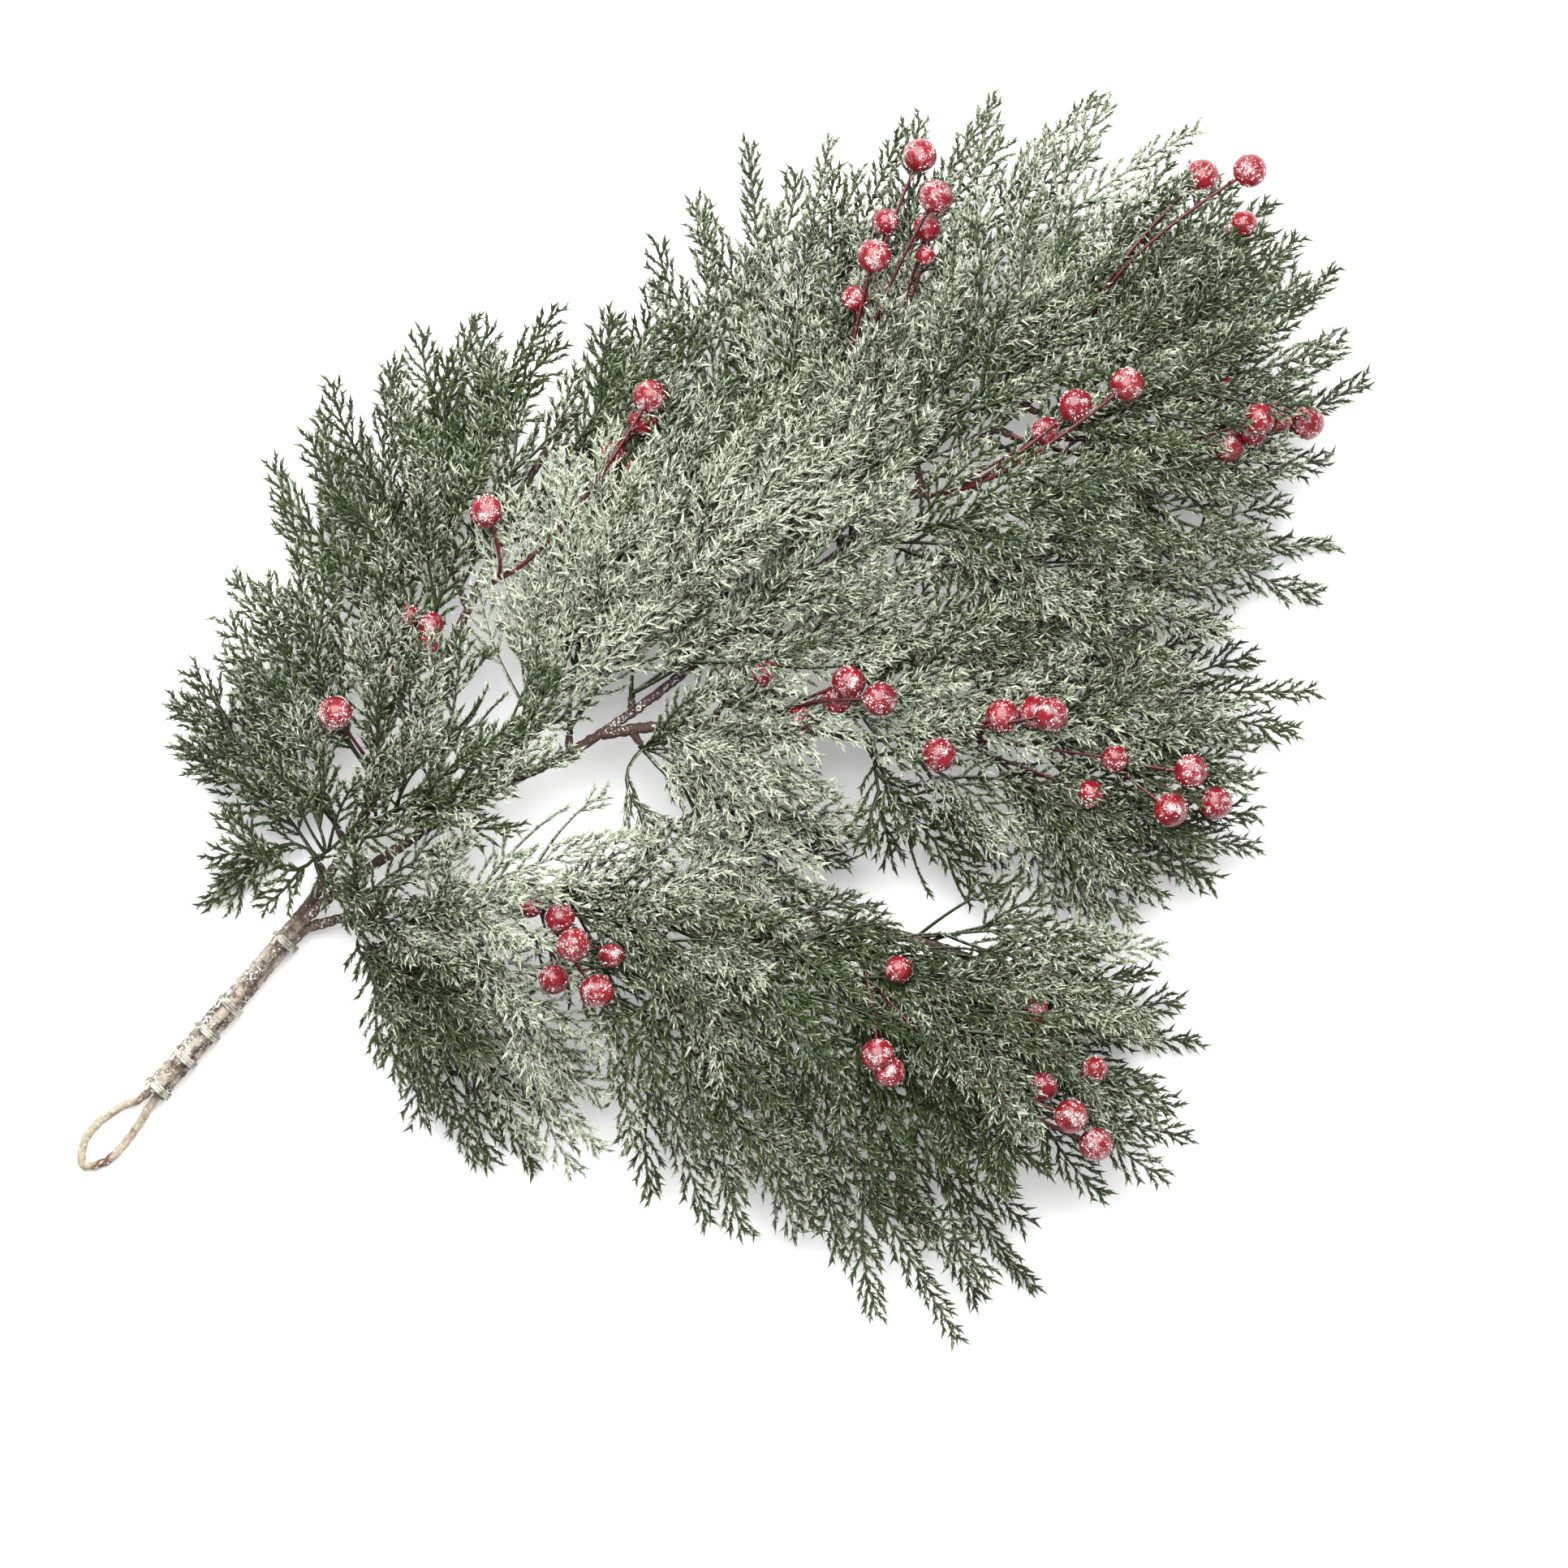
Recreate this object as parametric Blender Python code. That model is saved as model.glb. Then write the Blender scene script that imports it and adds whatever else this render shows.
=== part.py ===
"""A frosted juniper sprig with red berries, lying flat, with the hanging loop of its wire handle.

Metres, +Z up. The handle lies along +Y, from the loop to the fork, and the origin is under the middle of the box.
The lists below give places in millimetres, on a plan with x = 0 on the handle's axis and y = 0 at the fork.
"""

import math
import random
from itertools import product

import bmesh
import bpy
from mathutils import Matrix, Vector

MM = 0.001

# The handle: the three branch wires and the two legs of the loop, side by side under five wire ties
FORK_Y = -8
STEM_END_Y = -98
STEM_RADIUS = 2.3
TWIG_END_RADIUS = 1.5
SIDE_STEM_X = 2.6
SIDE_STEM_Z = 8.9
TOP_STEM_Z = 13.4
LEG_X = 2.1
LEG_Z = 4.6
LEG_TOP_Y = -22
LOOP_WIRE_RADIUS = 1.8
LOOP_PLAN = [(-6.2, -110), (-9.2, -122), (-8.4, -132), (-2.5, -139.5), (3.4, -132), (4.4, -122), (3.4, -110)]
TIE_PLACES = [-17, -51, -65, -79, -95]
TIE_WIRE_RADIUS = 0.65
TIE_GAP = 0.3
TIE_POINTS = 14
BRANCH_STEP = 15

# The branch wires beyond the fork, as points (x, y, z) that a smooth line runs through
LEFT_BRANCH = [(-3.5, 12, 13), (-8, 38, 20), (-16, 75, 30), (-25, 110, 37), (-33, 140, 41), (-42, 168, 42),
               (-48, 195, 42), (-51, 222, 40)]
CENTRE_BRANCH = [(3, 12, 20), (11, 45, 29), (21, 80, 38), (33, 105, 43), (42, 130, 45), (49, 160, 46),
                 (58, 210, 46), (68, 255, 46), (76, 300, 46), (84, 345, 45), (88, 385, 43)]
RIGHT_BRANCH = [(14, 8, 14), (28, 28, 21), (55, 58, 31), (85, 86, 37), (115, 104, 39), (145, 124, 39),
                (175, 143, 37), (205, 157, 35), (236, 165, 33)]
FORKED_BRANCH = [(42, 130, 45), (56, 146, 44), (72, 161, 43), (100, 183, 42), (125, 200, 42), (148, 222, 41),
                 (168, 245, 39), (183, 263, 37)]

# Each spray: its branch, how far along it stands, and the tips (x, y, z) of its fronds, with their half widths
SPRAYS = {
    "spray_left_01": ("left", 22, [(-34, -27, 0, 14), (-94, 25, 20, 18)]),
    "spray_left_02": ("left", 38, [(-86, 52, 10, 22)]),
    "spray_left_03": ("left", 50, [(-26, 124, 56, 18), (12, 146, 64, 18)]),
    "spray_left_04": ("left", 66, [(-110, 80, 26, 22), (-98, 106, 50, 18)]),
    "spray_left_05": ("left", 94, [(-127, 152, 0, 22)]),
    "spray_left_06": ("left", 122, [(-117, 188, 44, 22)]),
    "spray_left_07": ("left", 148, [(-106, 222, 16, 20), (-82, 246, 48, 20)]),
    "spray_left_08": ("left", 176, [(-60, 280, 26, 22)]),
    "spray_left_09": ("left", 200, [(-34, 280, 48, 20)]),
    "spray_centre_01": ("centre", 112, [(-44, 202, 66, 22)]),
    "spray_centre_02": ("centre", 134, [(-18, 248, 40, 20), (10, 288, 72, 22)]),
    "spray_centre_03": ("centre", 164, [(42, 284, 82, 22)]),
    "spray_centre_04": ("centre", 224, [(-62, 312, 52, 20), (-4, 312, 30, 20)]),
    "spray_centre_05": ("centre", 250, [(-70, 348, 0, 20), (-44, 368, 54, 20)]),
    "spray_centre_06": ("centre", 270, [(-26, 393, 30, 20)]),
    "spray_centre_07": ("centre", 290, [(-5, 424, 54, 20)]),
    "spray_centre_08": ("centre", 310, [(24, 453, 28, 20)]),
    "spray_centre_09": ("centre", 332, [(63, 467, 56, 22)]),
    "spray_centre_10": ("centre", 384, [(104, 468, 0, 20)]),
    "spray_centre_11": ("centre", 362, [(141, 461, 54, 20)]),
    "spray_centre_12": ("centre", 342, [(180, 438, 26, 22)]),
    "spray_centre_13": ("centre", 320, [(182, 393, 58, 20), (214, 381, 0, 20)]),
    "spray_centre_14": ("centre", 282, [(196, 356, 46, 20), (200, 328, 16, 20)]),
    "spray_fork_01": ("fork", 12, [(150, 156, 24, 20)]),
    "spray_fork_02": ("fork", 44, [(98, 266, 60, 22)]),
    "spray_fork_03": ("fork", 84, [(194, 303, 62, 20), (158, 299, 30, 20)]),
    "spray_fork_04": ("fork", 106, [(205, 184, 18, 20)]),
    "spray_fork_05": ("fork", 140, [(246, 330, 26, 20)]),
    "spray_fork_06": ("fork", 170, [(240, 299, 50, 18), (270, 268, 22, 20)]),
    "spray_fork_07": ("fork", 150, [(258, 245, 10, 20), (252, 213, 34, 20)]),
    "spray_right_01": ("right", 18, [(135, -20, 0, 18)]),
    "spray_right_02": ("right", 40, [(150, 4, 34, 20), (96, 24, 54, 20)]),
    "spray_right_03": ("right", 84, [(148, 108, 56, 20)]),
    "spray_right_04": ("right", 110, [(202, 10, 24, 22)]),
    "spray_right_05": ("right", 136, [(236, 38, 44, 22)]),
    "spray_right_06": ("right", 158, [(260, 42, 16, 20)]),
    "spray_right_07": ("right", 184, [(308, 41, 30, 20)]),
    "spray_right_08": ("right", 214, [(320, 75, 0, 20), (290, 116, 46, 20)]),
    "spray_right_09": ("right", 262, [(325, 162, 28, 20)]),
    "spray_right_10": ("right", 236, [(304, 194, 0, 20), (270, 202, 40, 20)]),
}

# Each bunch of berries: its branch, how far along it stands, and the middles (x, y, z) of its berries
BERRY_RADIUS = 6.8
BUNCHES = {
    "berries_left_low": ("left", 70, [(-43, 67, 60)]),
    "berries_left_high": ("left", 158, [(-50, 167, 66), (-31, 244, 62)]),
    "berries_centre_left": ("centre", 276, [(-13, 387, 60), (3, 378, 72), (0, 344, 74)]),
    "berries_centre_top": ("centre", 396, [(90, 468, 66), (77, 455, 54)]),
    "berries_centre_right": ("centre", 348, [(173, 408, 58), (157, 396, 70), (155, 380, 60)]),
    "berries_centre_mid": ("centre", 306, [(109, 371, 82), (99, 352, 72)]),
    "berries_fork_mid": ("fork", 128, [(172, 253, 76), (158, 240, 66), (149, 212, 62)]),
    "berries_fork_low": ("fork", 64, [(117, 213, 76), (103, 210, 66)]),
    "berries_fork_end": ("fork", 188, [(229, 273, 58), (245, 270, 48), (233, 256, 60)]),
    "berries_right_low": ("right", 96, [(89, 60, 72), (108, 52, 64)]),
    "berries_right_end": ("right", 226, [(209, 106, 64), (283, 138, 62), (298, 136, 54)]),
}

# How a spray grows: a collar on the branch's peg, a rachis for each frond, side twigs left and right in turn,
# and needles round all of them
GROWTH_SEED = 7
PEG_LENGTH = 7
PEG_RADIUS = 1.4
TOUCH_GAP = 0.3
COLLAR_LENGTH = 5
COLLAR_RADIUS = 1.8
BARE_SHARE = 0.3
RACHIS_RADIUS = 1.3
TWIG_SPACING = 21
TWIG_THICKNESS = 0.5
NEEDLE_BASE = 2.2
NEEDLE_RISE = 3.6
NEEDLE_REACH = 4.2
STALK_RADIUS = 0.9
CELL = 2.5
MERGE = 0.003


def even_line(points, step):
    """The same line with its points spaced evenly, about step apart."""
    total = length_of(points)
    count = max(1, round(total / step))
    return [at_distance(points, total * i / count)[0] for i in range(count + 1)]


def length_of(points):
    return sum((b - a).length for a, b in zip(points, points[1:]))


def at_distance(points, distance):
    """The place on a line at that distance from its start, and the line's direction there."""
    for a, b in zip(points, points[1:]):
        span = (b - a).length
        if distance <= span:
            break
        distance -= span
    else:
        distance = span
    return a.lerp(b, distance / span), (b - a).normalized()


def smooth_line(points, step):
    """A smooth line through the points, with a point about every step."""
    ends = [2 * points[0] - points[1], *points, 2 * points[-1] - points[-2]]
    fine = []
    for a, b, c, d in zip(ends, ends[1:], ends[2:], ends[3:]):
        for i in range(12):
            t = i / 12
            fine.append(0.5 * (2 * b + (c - a) * t + (2 * a - 5 * b + 4 * c - d) * t * t
                               + (3 * b - 3 * c + d - a) * t ** 3))
    fine.append(points[-1])
    return even_line(fine, step)


class Room:
    """Keeps pieces apart: each takes the small cells that it runs through, and later ones stay a cell away.

    An owner is a node's name and the number of its frond. A whole node's cells are free to a rachis of that node.
    """

    def __init__(self):
        self.cells = {}

    def clear(self, points, own, whole_node=False):
        for p in points:
            x, y, z = (math.floor(c / CELL) for c in p)
            for i, j, k in product((-1, 0, 1), repeat=3):
                other = self.cells.get((x + i, y + j, z + k), own)
                if other != own and not (whole_node and other[0] == own[0]):
                    return False
        return True

    def take(self, points, owner):
        for p in points:
            self.cells.setdefault(tuple(math.floor(c / CELL) for c in p), owner)


def skin(points, radius):
    """Points in and on a round stem."""
    offsets = [Vector(c) * radius * 0.6 for c in product((-1, 0, 1), repeat=3)]
    return [p + o for p in even_line(points, 1.5) for o in offsets]


def ball(middle, radius):
    """Points in and on a berry."""
    steps = range(-3, 4)
    offsets = [Vector(c) * radius / 3 for c in product(steps, repeat=3)]
    return [middle + o for o in offsets if o.length <= radius * 1.01]


def branch_lines():
    """The middle line of each branch wire, from its end in the handle to its tip."""
    handle = {
        "left": (-SIDE_STEM_X, SIDE_STEM_Z, LEFT_BRANCH),
        "centre": (0, TOP_STEM_Z, CENTRE_BRANCH),
        "right": (SIDE_STEM_X, SIDE_STEM_Z, RIGHT_BRANCH),
    }
    lines = {}
    for name, (x, z, beyond) in handle.items():
        straight = [Vector((x, y, z)) for y in (STEM_END_Y, (STEM_END_Y + FORK_Y) / 2, FORK_Y)]
        lines[name] = smooth_line(straight + [Vector(p) for p in beyond], BRANCH_STEP)
    lines["fork"] = smooth_line([Vector(p) for p in FORKED_BRANCH], BRANCH_STEP)
    return lines


def peg_of(lines, branch, distance, tips):
    """A peg's root on the branch's middle line, and its direction: out towards the tips, and a little forward."""
    start = 0 if branch == "fork" else FORK_Y - STEM_END_Y
    root, ahead = at_distance(lines[branch], start + distance)
    middle = sum((Vector(t[:3]) for t in tips), Vector()) / len(tips)
    out = middle - root
    out -= ahead * out.dot(ahead)
    out = (out.normalized() + 0.5 * ahead).normalized()
    return root, out


def bent_line(foot, leaving, tip, bow):
    """A line that leaves the foot along its direction and bends over to the tip."""
    bend = foot + leaving * (tip - foot).length * 0.42 + bow
    return [foot.lerp(bend, t).lerp(bend.lerp(tip, t), t) for t in (i / 12 for i in range(13))]


def clear_line(room, own, foot, leaving, tip):
    """The least bowed line to the tip that keeps clear of what stands there."""
    side = (tip - foot).cross(Vector((0, 0, 1))).normalized()
    bows = sorted(product(range(-36, 55, 6), range(-24, 25, 8), (0, 4, -4, 8, -8)),
                  key=lambda b: abs(b[0]) + 1.5 * abs(b[1]) + 2 * abs(b[2]))
    for lift, sway, raised in bows:
        end = tip + Vector((0, 0, raised)) if tip.z > 0 else tip
        line = bent_line(foot, leaving, end, Vector((0, 0, lift)) + side * sway)
        if min(p.z for p in line[:-1]) > 1 and room.clear(even_line(line, 1.5)[4:], own, True):
            return line
    return None


def frond_twigs(room, own, line, half_width, rng):
    """Where a frond's side twigs leave its rachis, left and right in turn, and their tips, or none for no room."""
    total = length_of(line)
    roll = rng.uniform(-0.5, 0.5)
    upward = Vector((math.sin(roll), 0, math.cos(roll)))
    count = max(2, round(total * (0.92 - BARE_SHARE) / TWIG_SPACING))
    twigs = []
    for i in range(count):
        share = BARE_SHARE + (0.92 - BARE_SHARE) * (i + 0.3) / count
        root, ahead = at_distance(line, share * total)
        side = ahead.cross(upward).normalized() * (1 if i % 2 else -1)
        heading = (ahead * 0.8 + side * 0.75 + upward * rng.uniform(-0.2, 0.3)).normalized()
        reach = half_width * (1.45 - 0.75 * share) * rng.uniform(0.9, 1.15)
        twigs.append((share * total, None))
        for shorter in (1, 0.8, 0.6):
            tip = root + heading * reach * shorter
            tip.z = max(tip.z, 1)
            if room.clear(even_line([root, tip], 1.5)[3:], own):
                room.take(even_line([root, tip], 1.5), own)
                twigs[-1] = (share * total, tip)
                break
    return upward, twigs


def drawn_out(mesh, end, ahead, beyond, heading, ratio):
    """Draws the end face out to a place beyond, turned to a new heading. Gives the new end and the sides."""
    middle = end.calc_center_median()
    turn = ahead.rotation_difference(heading)
    end = bmesh.ops.extrude_discrete_faces(mesh, faces=[end])["faces"][0]
    for vert in end.verts:
        vert.co = beyond + turn @ (vert.co - middle) * ratio
    sides = [f for e in end.edges for f in e.link_faces if f != end]
    for side in sides:
        side.normal_update()
    return end, sides


def raise_needles(room, own, mesh, sides, ahead, rng):
    """Draws the middle of each side out into a needle that leans forward, where there is room for it."""
    for side in sides:
        root = side.calc_center_median()
        apex = root + (side.normal * NEEDLE_RISE + ahead * NEEDLE_REACH) * rng.uniform(0.85, 1.15)
        shaft = [root.lerp(apex, t) for t in (0.45, 0.75, 1)]
        if apex.z > 0.3 and room.clear(shaft, own):
            room.take(shaft, own)
            bmesh.ops.poke(mesh, faces=[side])["verts"][0].co = apex


def grown_twig(room, own, mesh, side, tip, rng):
    """A twig drawn out of the rachis's side: a slim neck, a ring of needles, and a last needle at its tip."""
    root = side.calc_center_median()
    heading = (tip - root).normalized()
    reach = (tip - root).length
    neck = root + heading * reach * 0.4
    end, _ = drawn_out(mesh, side, side.normal.copy(), neck, heading, TWIG_THICKNESS)
    end, sides = drawn_out(mesh, end, heading, neck + heading * NEEDLE_BASE, heading, 0.95)
    bmesh.ops.poke(mesh, faces=[end])["verts"][0].co = tip
    raise_needles(room, own, mesh, sides, heading, rng)


def grown_frond(room, own, line, upward, twigs, rng):
    """A slim three-sided rachis drawn out along its line, with twigs and needles drawn out of its sides."""
    total = length_of(line)
    place, ahead = at_distance(line, 0)
    across = upward.cross(ahead).normalized()
    facing = Matrix((across, ahead.cross(across), ahead)).transposed().to_4x4()
    first = twigs[0][0] * 0.3
    mesh = bmesh.new()
    bmesh.ops.create_cone(mesh, cap_ends=True, segments=3, radius1=RACHIS_RADIUS, radius2=RACHIS_RADIUS,
                          depth=first, matrix=Matrix.Translation(place + ahead * first / 2) @ facing)
    mesh.normal_update()
    end = max(mesh.faces, key=lambda f: f.normal.dot(ahead))
    stations = [(twigs[0][0] * 0.65, False, None)]
    for distance, tip in twigs:
        stations += [(distance - NEEDLE_BASE / 2, False, None), (distance + NEEDLE_BASE / 2, True, tip)]
    grown = RACHIS_RADIUS
    for distance, ringed, tip in stations:
        beyond, heading = at_distance(line, distance)
        thin = RACHIS_RADIUS * (1 - 0.4 * distance / total)
        end, sides = drawn_out(mesh, end, ahead, beyond, heading, thin / grown)
        ahead, grown = heading, thin
        if tip:
            facing_tip = max(sides, key=lambda f: f.normal.dot(tip - beyond))
            sides.remove(facing_tip)
            grown_twig(room, own, mesh, facing_tip, tip, rng)
        if ringed:
            raise_needles(room, own, mesh, sides, ahead, rng)
    bmesh.ops.poke(mesh, faces=[end])["verts"][0].co = line[-1]
    return mesh


def object_from(mesh, name, material, group):
    """A named object of a mesh in millimetres."""
    if mesh.calc_volume(signed=True) < 0:
        bmesh.ops.reverse_faces(mesh, faces=mesh.faces)
    bmesh.ops.scale(mesh, vec=(MM, MM, MM), verts=mesh.verts)
    data = bpy.data.meshes.new(name)
    mesh.to_mesh(data)
    mesh.free()
    data.materials.append(material)
    made = bpy.data.objects.new(name, data)
    group.objects.link(made)
    return made


def cone(root, direction, length, radius, end_radius, sides):
    """A straight round piece from its root along a direction."""
    mesh = bmesh.new()
    facing = direction.to_track_quat("Z", "Y").to_matrix().to_4x4()
    middle = Matrix.Translation(root + direction * length / 2) @ facing
    bmesh.ops.create_cone(mesh, cap_ends=True, segments=sides, radius1=radius, radius2=end_radius,
                          depth=length, matrix=middle)
    return mesh


def tube(points, radii, name, material, group, resolution=1, closed=False, tilt=0):
    """A round wire or branch along points in millimetres, made as a bevelled curve and turned into a mesh."""
    curve = bpy.data.curves.new(name, "CURVE")
    curve.dimensions = "3D"
    curve.bevel_depth = MM
    curve.bevel_resolution = resolution
    curve.use_fill_caps = not closed
    curve.twist_mode = "MINIMUM" if closed else "Z_UP"
    spline = curve.splines.new("POLY")
    spline.points.add(len(points) - 1)
    spline.use_cyclic_u = closed
    for target, place, radius in zip(spline.points, points, radii):
        target.co = (*(place * MM), 1)
        target.radius = radius
        target.tilt = tilt
    rough = bpy.data.objects.new(name + "_curve", curve)
    group.objects.link(rough)
    data = bpy.data.meshes.new_from_object(rough.evaluated_get(bpy.context.evaluated_depsgraph_get()))
    bpy.data.objects.remove(rough)
    bpy.data.curves.remove(curve)
    mesh = bmesh.new()
    mesh.from_mesh(data)
    bpy.data.meshes.remove(data)
    bmesh.ops.remove_doubles(mesh, verts=mesh.verts, dist=0.00001)
    bmesh.ops.scale(mesh, vec=(1 / MM, 1 / MM, 1 / MM), verts=mesh.verts)
    return object_from(mesh, name, material, group)


def fuse(base, pieces):
    """Joins the pieces of a collection to the base as one closed body, then removes them."""
    material = base.data.materials[0]
    union = base.modifiers.new("union", "BOOLEAN")
    union.operation = "UNION"
    union.operand_type = "COLLECTION"
    union.collection = pieces
    for solver in ("MANIFOLD", "EXACT"):
        union.solver = solver
        bpy.context.view_layer.update()
        joined = bpy.data.meshes.new_from_object(base.evaluated_get(bpy.context.evaluated_depsgraph_get()))
        tidy = bmesh.new()
        tidy.from_mesh(joined)
        bmesh.ops.remove_doubles(tidy, verts=tidy.verts, dist=MERGE * MM)
        closed = all(edge.is_manifold for edge in tidy.edges)
        tidy.to_mesh(joined)
        tidy.free()
        if closed:
            break
    base.modifiers.remove(union)
    base.data = joined
    joined.name = base.name
    joined.materials.clear()
    joined.materials.append(material)
    for piece in list(pieces.objects):
        bpy.data.objects.remove(piece)


def material_of(name, colour, roughness):
    material = bpy.data.materials.new(name)
    material.use_nodes = True
    shader = material.node_tree.nodes["Principled BSDF"]
    shader.inputs["Base Color"].default_value = (*colour, 1)
    shader.inputs["Roughness"].default_value = roughness
    material.diffuse_color = (*colour, 1)
    return material


for old in list(bpy.data.objects):
    bpy.data.objects.remove(old)

sprig = bpy.data.collections.new("juniper_berry_sprig")
bpy.context.scene.collection.children.link(sprig)
pieces = bpy.data.collections.new("pieces_to_fuse")
pieces.hide_render = True
bpy.context.scene.collection.children.link(pieces)

rng = random.Random(GROWTH_SEED)
room = Room()
lines = branch_lines()
pegs = {name: peg_of(lines, *where) for name, where in (SPRAYS | BUNCHES).items()}
feet = {name: root + out * (PEG_LENGTH + TOUCH_GAP) for name, (root, out) in pegs.items()}

# What stands first takes its room first: branches, pegs and collars, berries, every stalk and rachis, then twigs
for line in lines.values():
    room.take(skin(line, STEM_RADIUS), ("branches", 0))
for name, (root, out) in pegs.items():
    room.take(skin([root, root + out * PEG_LENGTH], PEG_RADIUS), ("branches", 0))
    room.take(skin([feet[name], feet[name] + out * COLLAR_LENGTH], COLLAR_RADIUS), (name, 0))
for name, (_, _, berries) in BUNCHES.items():
    for berry in berries:
        room.take(ball(Vector(berry), BERRY_RADIUS), (name, 0))

stalks = {name: [] for name in BUNCHES}
fronds = {name: [] for name in SPRAYS}
for name, (_, _, ends) in (BUNCHES | SPRAYS).items():
    out = pegs[name][1]
    for number, (x, y, z, *width) in enumerate(ends):
        start = feet[name] + out * (1.6 + 0.7 * number)
        line = clear_line(room, (name, number), start, out, Vector((x, y, z)))
        room.take(even_line(line, 1.5), (name, number))
        if width:
            fronds[name].append((line, width[0]))
        else:
            stalks[name].append(line)

twigs = {(name, number): frond_twigs(room, (name, number), line, half_width, rng)
         for name, found in fronds.items() for number, (line, half_width) in enumerate(found)}

# The branch wires with their pegs; the forked one grows out of the centre one
bark = material_of("branch_bark", (0.13, 0.075, 0.04), 0.85)
for name in ("left", "centre", "right"):
    grown = [name, "fork"] if name == "centre" else [name]
    made = []
    for branch in grown:
        line = lines[branch]
        thin = [STEM_RADIUS + (TWIG_END_RADIUS - STEM_RADIUS) * i / len(line) for i in range(len(line))]
        made.append(tube(line, thin, "branch_" + branch, bark, pieces if made else sprig))
    for piece, (root, out) in pegs.items():
        if (SPRAYS | BUNCHES)[piece][0] in grown:
            object_from(cone(root, out, PEG_LENGTH, PEG_RADIUS, PEG_RADIUS * 0.8, 4), "peg", bark, pieces)
    fuse(made[0], pieces)

# The loop's wire: one bend lying flat, with its two legs running up under the branches
loop_paper = material_of("loop_paper", (0.45, 0.33, 0.2), 0.8)
loop_z = LOOP_WIRE_RADIUS * math.cos(math.pi / 8)
left_leg = [Vector((-LEG_X, y, LEG_Z)) for y in (LEG_TOP_Y, -60, -100)]
right_leg = [Vector((LEG_X, y, LEG_Z)) for y in (-100, -60, LEG_TOP_Y)]
bend = smooth_line([left_leg[-1], *(Vector((x, y, loop_z)) for x, y in LOOP_PLAN), right_leg[0]], 5.5)
for point in bend[1:-1]:
    point.z = max(point.z, loop_z)
wire = left_leg[:-1] + bend + right_leg[1:]
tube(wire, [LOOP_WIRE_RADIUS] * len(wire), "hanging_loop", loop_paper, sprig, resolution=2, tilt=math.pi / 8)

# The ties: rings of wire drawn close round the bundle's three stems and the loop's legs
tie_wire = material_of("tie_wire", (0.3, 0.33, 0.26), 0.6)
bundle = [(-LEG_X, LEG_Z, LOOP_WIRE_RADIUS), (LEG_X, LEG_Z, LOOP_WIRE_RADIUS), (0, TOP_STEM_Z, STEM_RADIUS),
          (-SIDE_STEM_X, SIDE_STEM_Z, STEM_RADIUS), (SIDE_STEM_X, SIDE_STEM_Z, STEM_RADIUS)]
for number, y in enumerate(TIE_PLACES, start=1):
    ring = []
    for i in range(TIE_POINTS):
        turn = 2 * math.pi * i / TIE_POINTS
        out_x, out_z = math.cos(turn), math.sin(turn)
        x, z, radius = max(bundle, key=lambda w: w[0] * out_x + w[1] * out_z + w[2])
        reach = radius + TIE_GAP + TIE_WIRE_RADIUS
        ring.append(Vector((x + out_x * reach, y, z + out_z * reach)))
    tube(ring, [TIE_WIRE_RADIUS] * len(ring), "tie_" + str(number), tie_wire, sprig, resolution=0, closed=True)

# The bunches: berries on their stalks, out of one collar
red = material_of("berry_red", (0.45, 0.02, 0.03), 0.45)
for name, found in stalks.items():
    foot, out = feet[name], pegs[name][1]
    bunch = object_from(cone(foot, out, COLLAR_LENGTH, COLLAR_RADIUS * 0.8, STALK_RADIUS, 5), name, red, sprig)
    for line in found:
        thin = even_line(line, 28)
        tube(thin, [STALK_RADIUS] * len(thin), "stalk", red, pieces, resolution=0)
        berry = bmesh.new()
        facing = (line[-1] - line[-2]).to_track_quat("Z", "Y").to_matrix().to_4x4()
        bmesh.ops.create_uvsphere(berry, u_segments=8, v_segments=4, radius=BERRY_RADIUS,
                                  matrix=Matrix.Translation(line[-1]) @ facing @ Matrix.Rotation(0.2, 4, "Z"))
        object_from(berry, "berry", red, pieces)
    fuse(bunch, pieces)

# The sprays of needles
green = material_of("needle_green", (0.1, 0.2, 0.09), 0.6)
for name, found in fronds.items():
    foot, out = feet[name], pegs[name][1]
    spray = object_from(cone(foot, out, COLLAR_LENGTH, COLLAR_RADIUS, RACHIS_RADIUS, 5), name, green, sprig)
    for number, (line, _) in enumerate(found):
        frond = grown_frond(room, (name, number), line, *twigs[name, number], rng)
        object_from(frond, "frond", green, pieces)
    fuse(spray, pieces)

bpy.data.collections.remove(pieces)

# The origin goes under the middle of the whole sprig, at the height of what it lies on
corners = [v.co for piece in sprig.objects for v in piece.data.vertices]
low = Vector([min(c[axis] for c in corners) for axis in range(3)])
high = Vector([max(c[axis] for c in corners) for axis in range(3)])
for piece in sprig.objects:
    piece.location = (-(low.x + high.x) / 2, -(low.y + high.y) / 2, -low.z)
    if not piece.name.startswith("spray"):
        piece.data.shade_smooth()
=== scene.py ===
"""A frosted artificial juniper sprig with red berries, lying flat and seen from straight above.

Each finer piece grows on the same lines as its solid, so it keeps the solid's form. Places and sizes are in
millimetres, on a plan with x = 0 on the handle's axis and y = 0 at the fork, as in the CAD. What goes into a
node tree is in metres.
"""

import math
import random
from itertools import product

import bmesh
import bpy
from mathutils import Matrix, Vector


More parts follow.
